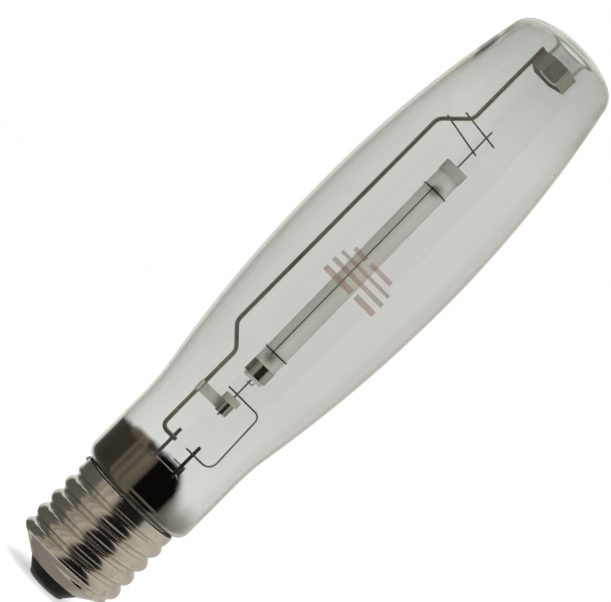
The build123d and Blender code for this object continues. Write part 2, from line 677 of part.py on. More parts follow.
def make_feed_wire():
    """Wire loop that carries current from the return post to the lower lead."""
    post_y = -(POST_RADIUS + FEED_RADIUS + WELD_GAP)
    lead_y = -(NIOBIUM_RADIUS + FEED_RADIUS + WELD_GAP)
    low_z, high_z = PRESS_TOP_Z + FEED_FOOT_RISE, TUBE_BOTTOM_Z - FEED_TOP_DROP
    ends = ((post_y, low_z), (post_y, low_z), (lead_y, high_z), (lead_y, high_z))
    points = [(x, y, z) for x, (y, z) in zip(FEED_CORNERS_X, ends)]
    return bent_wire(points, FEED_BENDS, FEED_RADIUS)


def make_getter_wire():
    """Short wire welded across the return post, which carries the getter ring."""
    y = -(POST_RADIUS + GETTER_WIRE_RADIUS + WELD_GAP)
    start = (GETTER_WIRE_START_X, y, GETTER_WIRE_Z)
    end = (getter_face_x() - FUSED_GAP, y, GETTER_WIRE_Z)
    return straight_wire(start, end, GETTER_WIRE_RADIUS)


def getter_face_x():
    """Return the x of the getter ring's face beside the return post."""
    return POST_X + POST_RADIUS + FIT_GAP


def make_getter_ring():
    """Small metal ring channel, seen edge on beside the return post."""
    y = -(POST_RADIUS + GETTER_WIRE_RADIUS + WELD_GAP)
    mid_radius = (GETTER_RADIUS + GETTER_BORE_RADIUS) / 2
    place = Pos(getter_face_x(), y, GETTER_WIRE_Z - mid_radius) * Rot(0, 90, 0)
    return place * tube(GETTER_RADIUS, GETTER_BORE_RADIUS, 0, GETTER_WIDTH)


# Arc tube group, each piece built about the arc tube's own centre


def arc_tube_body():
    """Translucent ceramic tube, plain at both ends."""
    return tube(TUBE_RADIUS, TUBE_BORE_RADIUS, -TUBE_END, TUBE_END)


def end_plug(collar_height):
    """Ceramic plug for the upper end: spigot in the tube, collar outside, bore for the lead."""
    spigot = TUBE_BORE_RADIUS - FUSED_GAP
    bore = NIOBIUM_RADIUS + FUSED_GAP
    return turned(
        (bore, TUBE_END - PLUG_DEPTH),
        (spigot, TUBE_END - PLUG_DEPTH),
        (spigot, TUBE_END + FUSED_GAP),
        (PLUG_COLLAR_RADIUS, TUBE_END + FUSED_GAP),
        (PLUG_COLLAR_RADIUS, TUBE_END + collar_height),
        (bore, TUBE_END + collar_height),
    )


def niobium_lead(length):
    """Upper lead wire, from its seat inside the plug to its free end."""
    return tube(NIOBIUM_RADIUS, 0, TUBE_END - NIOBIUM_SEAT_DEPTH, TUBE_END + length)


def electrode_rod():
    """Upper electrode's rod, butted to the lead inside the plug."""
    return tube(ELECTRODE_RADIUS, 0, TUBE_END - PLUG_DEPTH - ELECTRODE_REACH, TUBE_END - NIOBIUM_SEAT_DEPTH)


def electrode_coil():
    """Coil wound round the upper electrode's rod, near its tip."""
    radius = ELECTRODE_RADIUS + COIL_WIRE_RADIUS + WELD_GAP
    route = Helix(pitch=COIL_PITCH, height=COIL_HEIGHT, radius=radius)
    section = Plane(origin=route @ 0, z_dir=route % 0) * Circle(COIL_WIRE_RADIUS)
    coil = sweep(section, path=route, is_frenet=True).solid()
    start = TUBE_END - PLUG_DEPTH - ELECTRODE_REACH + COIL_TIP_MARGIN
    return Pos(0, 0, start) * coil


def heat_band(height, overhang):
    """Metal foil band round the tube's upper end."""
    bore = TUBE_RADIUS + FIT_GAP
    top = TUBE_END + overhang
    return tube(bore + BAND_SHEET, bore, top - height, top)


def aid_loop_reach():
    """Return the radius of the starting aid loops' centre line, close round the tube."""
    return TUBE_RADIUS + AID_LOOP_WIRE_RADIUS + FIT_GAP


def starting_aid_loop(side):
    """Loop of wire round the arc tube near one end, -1 for the lower and +1 for the upper."""
    place = Pos(0, 0, side * (TUBE_END - AID_LOOP_INSET))
    return (place * Torus(aid_loop_reach(), AID_LOOP_WIRE_RADIUS)).solid()


def starting_aid_wire():
    """Thin straight wire along the arc tube, welded across the outside of both loops."""
    reach = aid_loop_reach() + AID_LOOP_WIRE_RADIUS + WELD_GAP + AID_WIRE_RADIUS
    along = Pos(reach * cos(radians(AID_WIRE_ANGLE)), reach * sin(radians(AID_WIRE_ANGLE)), 0)
    end = TUBE_END - AID_LOOP_INSET + AID_END_OVERRUN
    return along * tube(AID_WIRE_RADIUS, 0, -end, end)


def lead_stop_wire():
    """Bent wire welded across the lower lead, which stops the lead sliding into its plug."""
    y = -(NIOBIUM_RADIUS + STOP_RADIUS + WELD_GAP)
    face_z = -TUBE_END - LOWER_COLLAR_HEIGHT
    points = [(x, y, face_z + z) for x, z in STOP_ROUTE]
    return bent_wire(points, STOP_BEND, STOP_RADIUS)


def amalgam_dose():
    """Bead of sodium amalgam lying on the lower plug."""
    plug_top = -TUBE_END + PLUG_DEPTH + FUSED_GAP
    return Pos(DOSE_OFFSET, 0, plug_top) * turned_dome(DOSE_RADIUS)


def turned_dome(radius):
    """Return a half ball standing on the XY plane."""
    return revolved(arc((0, 0), radius, 0, 90), Line((0, radius), (0, 0)), Line((0, 0), (radius, 0)))


def bush_ceramic():
    """Ceramic bush that the lower lead slides in: a body in the sleeve under a wider flange."""
    flange_top = -TUBE_END - BUSH_FLANGE_TOP_DROP
    flange_foot = flange_top - BUSH_FLANGE_HEIGHT
    bore = NIOBIUM_RADIUS + BUSH_BORE_CLEARANCE
    return turned(
        (bore, flange_foot - BUSH_BODY_HEIGHT),
        (BUSH_BODY_RADIUS, flange_foot - BUSH_BODY_HEIGHT),
        (BUSH_BODY_RADIUS, flange_foot),
        (BUSH_FLANGE_RADIUS, flange_foot),
        (BUSH_FLANGE_RADIUS, flange_top),
        (bore, flange_top),
    )


def bush_sleeve():
    """Metal sleeve crimped on the bush's body."""
    top = -TUBE_END - BUSH_FLANGE_TOP_DROP - BUSH_FLANGE_HEIGHT
    bore = BUSH_BODY_RADIUS + FUSED_GAP
    return tube(bore + SLEEVE_WALL, bore, top - BUSH_BODY_HEIGHT, top - FUSED_GAP)


def make_bush_strap():
    """Flat strap hooked round the rod and round the back of the bush's sleeve."""
    middle_z = (
        ARC_CENTRE_Z - TUBE_END - BUSH_FLANGE_TOP_DROP - BUSH_FLANGE_HEIGHT - BUSH_BODY_HEIGHT / 2
    )
    rod = (ROD_LOWER_X, ROD_Y)
    sleeve = (arc_axis_x(middle_z), 0.0)
    rod_inner = ROD_RADIUS + FIT_GAP
    sleeve_inner = BUSH_BODY_RADIUS + FUSED_GAP + SLEEVE_WALL + FIT_GAP
    apart = hypot(sleeve[0] - rod[0], sleeve[1] - rod[1])
    normal = bearing(rod, sleeve) + degrees(acos((rod_inner - sleeve_inner) / apart))

    def around(centre, radius, angle):
        """Return the point of a circle in one direction."""
        return centre[0] + radius * cos(radians(angle)), centre[1] + radius * sin(radians(angle))

    lines = []
    for grow in (0.0, STRAP_THICKNESS):
        rod_edge = around(rod, rod_inner + grow, normal)
        sleeve_edge = around(sleeve, sleeve_inner + grow, normal)
        lines.append(arc(rod, rod_inner + grow, STRAP_START_ANGLE, normal))
        lines.append(Line(rod_edge, sleeve_edge))
        lines.append(arc(sleeve, sleeve_inner + grow, normal, STRAP_END_ANGLE))
    rod_cut = (rod, rod_inner, STRAP_START_ANGLE)
    sleeve_cut = (sleeve, sleeve_inner, STRAP_END_ANGLE)
    for centre, radius, angle in (rod_cut, sleeve_cut):
        outside = around(centre, radius + STRAP_THICKNESS, angle)
        lines.append(Line(around(centre, radius, angle), outside))
    face = make_face(Curve() + lines)
    return extrude(Pos(0, 0, middle_z - STRAP_WIDTH / 2) * face, STRAP_WIDTH).solid()


# All pieces, each under the name of its file


def build_nodes():
    """Return every piece of the lamp in its place."""
    upper = ARC_FRAME
    lower = ARC_FRAME * Rot(180, 0, 0)
    return {
        "outer_bulb": make_outer_bulb(),
        "stem": make_stem(),
        "exhaust_tube": make_exhaust_tube(),
        "screw_shell": make_screw_shell(),
        "base_insulator": make_base_insulator(),
        "centre_contact": make_centre_contact(),
        "contact_solder": make_contact_solder(),
        "basing_cement": make_basing_cement(),
        "lead_post_frame": make_lead_post(-1),
        "lead_post_return": make_lead_post(1),
        "centre_lead": make_centre_lead(),
        "side_lead": make_side_lead(),
        "side_solder": make_side_solder(),
        "side_rod": make_side_rod(),
        "dimple_clip": make_dimple_clip(),
        "tie_wire_lower": make_tie_wire(LOWER_TIE_RISE, LOWER_TIE_OVERRUN),
        "tie_wire_upper": make_tie_wire(UPPER_TIE_RISE, UPPER_TIE_OVERRUN),
        "feed_wire": make_feed_wire(),
        "getter_wire": make_getter_wire(),
        "getter_ring": make_getter_ring(),
        "bush_strap": make_bush_strap(),
        "bush_ceramic": ARC_FRAME * bush_ceramic(),
        "bush_sleeve": ARC_FRAME * bush_sleeve(),
        "lead_stop_wire": ARC_FRAME * lead_stop_wire(),
        "amalgam_dose": ARC_FRAME * amalgam_dose(),
        "arc_tube": ARC_FRAME * arc_tube_body(),
        "starting_aid_wire": ARC_FRAME * starting_aid_wire(),
        "starting_aid_loop_lower": ARC_FRAME * starting_aid_loop(-1),
        "starting_aid_loop_upper": ARC_FRAME * starting_aid_loop(1),
        "upper_end_plug": upper * end_plug(UPPER_COLLAR_HEIGHT),
        "lower_end_plug": lower * end_plug(LOWER_COLLAR_HEIGHT),
        "upper_niobium_lead": upper * niobium_lead(UPPER_LEAD_LENGTH),
        "lower_niobium_lead": lower * niobium_lead(LOWER_LEAD_LENGTH),
        "upper_electrode_rod": upper * electrode_rod(),
        "lower_electrode_rod": lower * electrode_rod(),
        "upper_electrode_coil": upper * electrode_coil(),
        "lower_electrode_coil": lower * electrode_coil(),
        "upper_heat_band": upper * heat_band(UPPER_BAND_HEIGHT, UPPER_BAND_OVERHANG),
        "lower_heat_band": lower * heat_band(LOWER_BAND_HEIGHT, LOWER_BAND_OVERHANG),
    }


os.makedirs("parts", exist_ok=True)
for name, shape in build_nodes().items():
    shape.label = name
    export_step(shape, f"parts/{name}.step")
    print(name, round(shape.volume, 3))
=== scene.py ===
"""Looks of the high pressure sodium lamp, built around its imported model.

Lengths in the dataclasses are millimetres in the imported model's frame: +Z up the lamp from the
contact, -X towards the side rod. Meshes are worked out in millimetres and stored in metres.
"""

import logging
import math
from dataclasses import dataclass
from enum import Enum

import bmesh
import bpy
import numpy as np
from mathutils import Matrix, Vector


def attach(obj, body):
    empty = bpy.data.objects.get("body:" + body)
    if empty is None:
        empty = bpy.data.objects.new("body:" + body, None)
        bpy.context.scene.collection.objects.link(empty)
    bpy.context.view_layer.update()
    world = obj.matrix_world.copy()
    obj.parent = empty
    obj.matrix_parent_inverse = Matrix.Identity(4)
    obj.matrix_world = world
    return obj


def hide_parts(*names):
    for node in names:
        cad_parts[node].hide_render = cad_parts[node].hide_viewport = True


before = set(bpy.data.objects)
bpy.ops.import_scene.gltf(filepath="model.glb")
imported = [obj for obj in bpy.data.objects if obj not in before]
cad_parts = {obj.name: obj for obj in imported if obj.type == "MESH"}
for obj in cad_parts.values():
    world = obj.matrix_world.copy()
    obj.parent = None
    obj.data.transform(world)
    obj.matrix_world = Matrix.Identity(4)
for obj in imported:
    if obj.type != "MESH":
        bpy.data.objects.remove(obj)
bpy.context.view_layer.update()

LOG = logging.getLogger("lamp")
MM = 0.001
TAU = 2 * math.pi
BODY = "root"

Colour = tuple[float, float, float]
Place = tuple[float, float, float]
Point = tuple[float, float]
Span = tuple[float, float]
Stops = tuple[tuple[float, Colour], ...]
Outline = np.ndarray


# Mesh tools


AXIS_REACH = 1e-6
POINT_GAP = 1e-5
MERGE_REACH = 1e-7


def grid_mesh(name: str, points: np.ndarray, wrap_rows: bool, wrap_columns: bool) -> bpy.types.Object:
    """Make a smooth mesh object from a grid of points in millimetres.

    Each cell of the grid becomes one four-sided face, wound so that rows cross columns outwards.

    Args:
        name: The piece's name.
        points: Array of rows by columns by 3.
        wrap_rows: Whether the last row joins the first.
        wrap_columns: Whether the last column joins the first.

    Returns:
        The new object, linked to the scene.
    """
    rows, columns = points.shape[:2]
    row = np.arange(rows if wrap_rows else rows - 1)[:, None]
    column = np.arange(columns if wrap_columns else columns - 1)[None, :]
    next_row = (row + 1) % rows
    next_column = (column + 1) % columns
    corners = (
        row * columns + column,
        row * columns + next_column,
        next_row * columns + next_column,
        next_row * columns + column,
    )
    faces = np.stack([np.broadcast_to(c, (row.size, column.size)) for c in corners], axis=-1)
    return mesh_object(name, points.reshape(-1, 3), faces.reshape(-1, 4))


def mesh_object(name: str, points: np.ndarray, faces: np.ndarray) -> bpy.types.Object:
    """Put points and faces that all have the same number of sides into a new smooth mesh object.

    Args:
        name: The piece's name.
        points: Array of points by 3, in millimetres.
        faces: Array of faces by sides, of indices into the points.

    Returns:
        The new object, linked to the scene.
    """
    mesh = bpy.data.meshes.new(name)
    mesh.vertices.add(len(points))
    mesh.vertices.foreach_set("co", (points * MM).astype(np.float32).ravel())
    sides = faces.shape[1]
    mesh.loops.add(faces.size)
    mesh.loops.foreach_set("vertex_index", faces.astype(np.int32).ravel())
    mesh.polygons.add(len(faces))
    mesh.polygons.foreach_set("loop_start", np.arange(0, faces.size, sides, dtype=np.int32))
    mesh.update(calc_edges=True)
    mesh.validate()
    mesh.shade_smooth()
    piece = bpy.data.objects.new(name, mesh)
    bpy.context.scene.collection.objects.link(piece)
    return piece


def lathe_mesh(name: str, outline: Outline, columns: int) -> bpy.types.Object:
    """Turn an (r, z) outline about the Z axis: x = r cos a, y = r sin a.

    An outline whose two ends lie on the axis gets a pole at each, where all the columns' points are
    merged into one. Any other outline is taken as a closed loop.

    Args:
        name: The piece's name.
        outline: Array of points by 2, running so that the outside lies on its right.
        columns: How many steps go round.

    Returns:
        The new object.
    """
    angle = np.linspace(0, TAU, columns, endpoint=False)
    radius, height = outline[:, :1], outline[:, 1:]
    across = np.stack([radius * np.cos(angle), radius * np.sin(angle)], axis=-1)
    heights = np.broadcast_to(height, (len(outline), columns))[..., None]
    has_poles = outline[0, 0] < AXIS_REACH and outline[-1, 0] < AXIS_REACH
    piece = grid_mesh(name, np.concatenate([across, heights], axis=-1), not has_poles, True)
    if has_poles:
        merge_close_points(piece)
    return piece


def merge_close_points(piece: bpy.types.Object) -> None:
    """Merge points of a mesh that lie on one another, such as those of a pole.

    Args:
        piece: The mesh object, whose normals are recalculated outwards.
    """
    work = bmesh.new()
    work.from_mesh(piece.data)
    bmesh.ops.remove_doubles(work, verts=work.verts, dist=MERGE_REACH)
    bmesh.ops.recalc_face_normals(work, faces=work.faces)
    work.to_mesh(piece.data)
    work.free()


def arc_points(centre: Point, radius: float, start: float, end: float, step: float) -> Outline:
    """Sample an arc of a circle, centre plus radius times (cos, sin), at about one step of length.

    Args:
        centre: The circle's centre, (r, z).
        radius: The circle's radius.
        start: First direction in degrees.
        end: Last direction in degrees.
        step: Wanted distance between points.

    Returns:
        The arc's points, both ends included.
    """
    sweep = math.radians(abs(end - start))
    count = max(3, math.ceil(sweep * radius / step) + 1)
    angle = np.radians(np.linspace(start, end, count))
    return np.stack([centre[0] + radius * np.cos(angle), centre[1] + radius * np.sin(angle)], axis=1)


def line_points(start: Point, end: Point, step: float) -> Outline:
    """Sample a straight line at about one step of length.

    Args:
        start: First point, (r, z).
        end: Last point.
        step: Wanted distance between points.

    Returns:
        The line's points, both ends included.
    """
    length = math.dist(start, end)
    share = np.linspace(0, 1, max(2, math.ceil(length / step) + 1))[:, None]
    return np.array(start) * (1 - share) + np.array(end) * share


def joined(parts: list[Outline]) -> Outline:
    """Join sampled lines end to end.

    Args:
        parts: The lines in order.

    Returns:
        One line, with each repeated point left out.
    """
    points = np.concatenate(parts)
    keep = np.ones(len(points), bool)
    keep[1:] = np.linalg.norm(np.diff(points, axis=0), axis=1) > POINT_GAP
    return points[keep]


def smoothstep(value: np.ndarray | float, start: float, end: float) -> np.ndarray | float:
    """Ease from 0 at start to 1 at end: s squared times (3 - 2 s)."""
    share = np.clip((value - start) / (end - start), 0.0, 1.0)
    return share * share * (3 - 2 * share)


def bearing(start: Point, end: Point) -> float:
    """Return the direction in degrees from one (r, z) point to another."""
    return math.degrees(math.atan2(end[1] - start[1], end[0] - start[0]))


def upper_meeting(centre_a: Point, radius_a: float, centre_b: Point, radius_b: float) -> Point:
    """Find where two circles meet, by the foot and the half length of the chord that they share.

    Args:
        centre_a: First circle's centre, (r, z).
        radius_a: First circle's radius.
        centre_b: Second circle's centre.
        radius_b: Second circle's radius.

    Returns:
        The upper one of the two points.
    """
    gap = np.array(centre_b) - np.array(centre_a)
    length = float(np.linalg.norm(gap))
    along = (radius_a**2 - radius_b**2 + length**2) / (2 * length)
    across = math.sqrt(radius_a**2 - along**2)
    foot = np.array(centre_a) + gap * along / length
    turn = np.array([-gap[1], gap[0]]) * across / length
    meeting = foot + turn if gap[0] > 0 else foot - turn
    return float(meeting[0]), float(meeting[1])


# Node tools


Socket = bpy.types.NodeSocket
Value = Socket | float | Colour


class Nodes:
    """A material's or group's nodes, with short ways to add and join them."""

    def __init__(self, tree: bpy.types.NodeTree) -> None:
        """Take hold of a node tree."""
        self.tree = tree

    def add(self, kind: str, **settings: object) -> bpy.types.Node:
        """Add a node and set its properties, or its input sockets where a name is capitalised.

        Args:
            kind: The node's type, such as ShaderNodeTexNoise.
            settings: Property values; a key with a capital letter names an input, with _ for a space.

        Returns:
            The new node.
        """
        node = self.tree.nodes.new(kind)
        for key, value in settings.items():
            if key[0].isupper():
                self.feed(node, key.replace("_", " "), value)
            else:
                setattr(node, key, value)
        return node

    def feed(self, node: bpy.types.Node, socket: str | int, value: Value) -> None:
        """Give an input a value, or link it where the value is another node's output.

        Args:
            node: The node that is fed.
            socket: Its input's name or number.
            value: A number, a colour or an output.
        """
        target = node.inputs[socket]
        if isinstance(value, Socket):
            self.tree.links.new(value, target)
        elif target.type == "RGBA" and len(value) == 3:
            target.default_value = (*value, 1.0)
        else:
            target.default_value = value

    def feed_all(self, node: bpy.types.Node, values: dict[str | int, Value]) -> bpy.types.Node:
        """Feed several inputs of a node and return the node."""
        for socket, value in values.items():
            self.feed(node, socket, value)
        return node

    def maths(self, operation: str, *values: Value) -> Socket:
        """Add a Math node fed with numbers or outputs and return its result."""
        node = self.add("ShaderNodeMath", operation=operation)
        return self.feed_all(node, dict(enumerate(values))).outputs[0]

    def between(self, value: Value, low: Value, high: Value, to: Span = (0.0, 1.0)) -> Socket:
        """Ease a value from one range to another with smooth ends.

        Args:
            value: The value.
            low: Where the easing starts.
            high: Where it ends.
            to: The results at and beyond the two ends.

        Returns:
            The eased value.
        """
        node = self.add("ShaderNodeMapRange", interpolation_type="SMOOTHSTEP")
        return self.feed_all(node, dict(enumerate((value, low, high, *to)))).outputs[0]

    def over(self, place: Value, span: Span, to: Span = (0.0, 1.0)) -> Socket:
        """Ease a coordinate over a span in millimetres from one value to another and return it."""
        return self.between(place, span[0] * MM, span[1] * MM, to)

    def mixed(self, share: Value, first: Value, second: Value) -> Socket:
        """Mix two colours by a share and return the colour."""
        node = self.add("ShaderNodeMix", data_type="RGBA")
        return self.feed_all(node, {0: share, 6: first, 7: second}).outputs[2]

    def mixed_value(self, share: Value, first: Value, second: Value) -> Socket:
        """Mix two values by a share and return the value."""
        node = self.add("ShaderNodeMix", data_type="FLOAT")
        return self.feed_all(node, {0: share, 2: first, 3: second}).outputs[0]

    def ramp(self, share: Value, stops: Stops) -> Socket:
        """Find the colour at a share from 0 to 1 along a row of stops, eased between them.

        Args:
            share: The share.
            stops: Rows of (share, colour).

        Returns:
            The colour.
        """
        node = self.add("ShaderNodeValToRGB", Fac=share)
        node.color_ramp.interpolation = "EASE"
        marks = node.color_ramp.elements
        for _ in stops[2:]:
            marks.new(1.0)
        for mark, (place, colour) in zip(marks, stops):
            mark.position = place
            mark.color = (*colour, 1.0)
        return node.outputs[0]

    def noise(self, vector: Value, scale: Value, detail: float = 2.0, rough: float = 0.5) -> Socket:
        """Add a Noise texture and return its value."""
        node = self.add("ShaderNodeTexNoise", Vector=vector, Scale=scale, Detail=detail, Roughness=rough)
        return node.outputs["Fac"]

    def place(self, stretch: Place = (1.0, 1.0, 1.0)) -> Socket:
        """Return Object coordinates, multiplied axis by axis to stretch a pattern."""
        place = self.add("ShaderNodeTexCoord").outputs["Object"]
        if stretch == (1.0, 1.0, 1.0):
            return place
        return self.add("ShaderNodeMapping", Vector=place, Scale=stretch).outputs[0]

    def axes(self) -> tuple[Socket, ...]:
        """Return the Object coordinates' x, y and z."""
        return tuple(self.add("ShaderNodeSeparateXYZ", Vector=self.place()).outputs)

    def bump(self, height: Value, strength: float, distance: float) -> Socket:
        """Add a Bump node with its distance in millimetres and return its normal."""
        node = self.add("ShaderNodeBump", Height=height, Strength=strength, Distance=distance * MM)
        return node.outputs[0]

    def seen(self) -> Socket:
        """Return 1 for what the camera sees, straight, in metal or through glass, and 0 otherwise."""
        path = self.add("ShaderNodeLightPath").outputs
        indirect = self.maths("MAXIMUM", path["Is Glossy Ray"], path["Is Transmission Ray"])
        return self.maths("MAXIMUM", path["Is Camera Ray"], indirect)


def new_material(name: str) -> tuple[bpy.types.Material, Nodes, bpy.types.Node]:
    """Make a material and return it with its nodes and its Principled BSDF."""
    material = bpy.data.materials.new(name)
    material.use_nodes = True
    return material, Nodes(material.node_tree), material.node_tree.nodes["Principled BSDF"]


def new_set_material(name: str) -> tuple[bpy.types.Material, Nodes, bpy.types.Node]:
    """Make a material without a Principled BSDF and return it with its nodes and its output node."""
    material, nodes, shader = new_material(name)
    nodes.tree.nodes.remove(shader)
    return material, nodes, nodes.tree.nodes["Material Output"]


class Way(Enum):
    """Which way a metal's working lines run, as the stretch of their pattern."""

    ALONG = (1.0, 1.0, 0.02)
    ROUND = (0.03, 0.03, 1.0)


class Effects:
    """Shader node groups that several finishes share. Each is built once."""

    def __init__(self) -> None:
        """Build every group."""
        self.tarnish = self._tarnish()
        self.lines = {way: self._lines(way) for way in Way}

    def stains(self, nodes: Nodes, scale: float, level: float) -> tuple[Socket, Socket]:
        """Place the tarnish in a material and return its Stain and Speck masks."""
        placed = nodes.add("ShaderNodeGroup", node_tree=self.tarnish, Scale=scale, Level=level)
        return placed.outputs["Stain"], placed.outputs["Speck"]

    def line(self, nodes: Nodes, way: Way, scale: float) -> Socket:
        """Place working lines in a material and return their value."""
        return nodes.add("ShaderNodeGroup", node_tree=self.lines[way], Scale=scale).outputs["Line"]

    @staticmethod
    def _group(
        name: str, inputs: dict[str, float], outputs: list[str]
    ) -> tuple[Nodes, bpy.types.Node, bpy.types.Node]:
        """Make an empty group with float inputs and outputs.

        Args:
            name: The group's name.
            inputs: Each input's name and first value.
            outputs: The outputs' names.

        Returns:
            Its nodes, its input node and its output node.
        """
        tree = bpy.data.node_groups.new(name, "ShaderNodeTree")
        for key, value in inputs.items():
            socket = tree.interface.new_socket(key, in_out="INPUT", socket_type="NodeSocketFloat")
            socket.default_value = value
        for key in outputs:
            tree.interface.new_socket(key, in_out="OUTPUT", socket_type="NodeSocketFloat")
        nodes = Nodes(tree)
        return nodes, nodes.add("NodeGroupInput"), nodes.add("NodeGroupOutput")

    def _tarnish(self) -> bpy.types.NodeTree:
        """Blotches and fine specks: broad noise thresholded softly, plus sparse small noise.

        Returns:
            The group, with Stain and Speck masks.
        """
        softness, fineness = 0.22, 9.0
        nodes, start, end = self._group("tarnish", {"Scale": 200.0, "Level": 0.5}, ["Stain", "Speck"])
        place, scale, level = nodes.place(), start.outputs["Scale"], start.outputs["Level"]
        broad = nodes.noise(place, scale, 5.0, 0.62)
        fine = nodes.noise(place, nodes.maths("MULTIPLY", scale, fineness))
        nodes.feed(end, "Stain", nodes.between(broad, level, nodes.maths("ADD", level, softness)))
        nodes.feed(end, "Speck", nodes.between(fine, 0.62, 0.74))
        return nodes.tree

    def _lines(self, way: Way) -> bpy.types.NodeTree:
        """Fine lines, as drawing or rolling leaves them: noise stretched along the way they run.

        Args:
            way: Which way the lines run.

        Returns:
            The group, with a Line value about 0.5.
        """
        nodes, start, end = self._group(f"lines_{way.name.lower()}", {"Scale": 3000.0}, ["Line"])
        nodes.feed(end, "Line", nodes.noise(nodes.place(way.value), start.outputs["Scale"]))
        return nodes.tree


# Finishes


@dataclass(frozen=True)
class MetalFinish:
    """Plated, drawn or stamped metal with tarnish and fine working lines."""

    name: str
    colour: Colour
    stain_colour: Colour
    roughness: float = 0.25
    stain_roughness: float = 0.5
    stain_scale: float = 220.0
    stain_level: float = 0.5
    stain_share: float = 0.6
    speck_share: float = 0.2
    line_scale: float = 3000.0
    line_bump: float = 0.08
    line_depth: float = 0.05
    line_way: Way = Way.ALONG
    metallic: float = 1.0

    def build(self, effects: Effects) -> bpy.types.Material:
        """Make the material: the stains dull and darken it, and the lines vary its gloss.

        Args:
            effects: The shared groups.

        Returns:
            The material.
        """
        material, nodes, shader = new_material(self.name)
        stain, speck = effects.stains(nodes, self.stain_scale, self.stain_level)
        line = effects.line(nodes, self.line_way, self.line_scale)
        blotches = nodes.maths("MULTIPLY", stain, self.stain_share)
        marks = nodes.maths("MAXIMUM", blotches, nodes.maths("MULTIPLY", speck, self.speck_share))
        lined = nodes.between(line, 0.3, 0.7, (self.roughness * 0.8, self.roughness * 1.2))
        nodes.feed(shader, "Base Color", nodes.mixed(marks, self.colour, self.stain_colour))
        nodes.feed(shader, "Roughness", nodes.mixed_value(marks, lined, self.stain_roughness))
        nodes.feed(shader, "Metallic", self.metallic)
        nodes.feed(shader, "Normal", nodes.bump(line, self.line_bump, self.line_depth))
        return material


@dataclass(frozen=True)
class CeramicFinish:
    """Sintered or moulded ceramic: fine grain, faint stains, and some light let through."""

    name: str
    colour: Colour
    shade: Colour
    roughness: float = 0.5
    gloss: float = 0.5
    refraction: float = 1.5
    let_through: float = 0.0
    subsurface: float = 0.0
    scatter_colour: Colour = (1.0, 0.9, 0.75)
    scatter_reach: float = 1.5
    grain_scale: float = 2600.0
    grain_bump: float = 0.15
    grain_depth: float = 0.04
    stain_scale: float = 160.0
    stain_level: float = 0.45
    stain_share: float = 0.7
    shadow_z: tuple[float, ...] = ()
    shadow_colour: Colour = (0.3, 0.285, 0.24)
    shadow_rise: float = 3.6
    shadow_width: float = 3.2

    def build(self, effects: Effects) -> bpy.types.Material:
        """Make the material: grain in its gloss and surface, stains and shadow spots in its colour.

        Args:
            effects: The shared groups.

        Returns:
            The material.
        """
        material, nodes, shader = new_material(self.name)
        stain, _ = effects.stains(nodes, self.stain_scale, self.stain_level)
        marks = nodes.maths("MULTIPLY", stain, self.stain_share)
        body = nodes.mixed(marks, self.colour, self.shade)
        for middle in self.shadow_z:
            body = nodes.mixed(self.shadow(nodes, middle), body, self.shadow_colour)
        grain = nodes.noise(nodes.place(), self.grain_scale)
        rough = nodes.between(grain, 0.3, 0.7, (self.roughness * 0.85, self.roughness * 1.15))
        nodes.feed(shader, "Base Color", body)
        nodes.feed(shader, "Roughness", rough)
        nodes.feed(shader, "Normal", nodes.bump(grain, self.grain_bump, self.grain_depth))
        nodes.feed(shader, "Specular IOR Level", self.gloss)
        nodes.feed(shader, "Transmission Weight", self.let_through)
        nodes.feed(shader, "Subsurface Weight", self.subsurface)
        nodes.feed(shader, "Subsurface Radius", self.scatter_colour)
        nodes.feed(shader, "Subsurface Scale", self.scatter_reach * MM)
        nodes.feed(shader, "IOR", self.refraction)
        return material

    def shadow(self, nodes: Nodes, middle: float) -> Socket:
        """Mask the soft spot of painted shadow where an electrode inside the tube shades its wall.

        Args:
            nodes: The material's nodes.
            middle: The spot's height.

        Returns:
            The mask: full in the middle, fading along Z and across X.
        """
        x, _, z = nodes.axes()
        along = nodes.maths("ABSOLUTE", nodes.maths("SUBTRACT", z, middle * MM))
        across = nodes.maths("ABSOLUTE", x)
        high = nodes.over(along, (0.0, self.shadow_rise), (1.0, 0.0))
        wide = nodes.over(across, (0.0, self.shadow_width), (1.0, 0.0))
        return nodes.maths("MULTIPLY", high, wide)


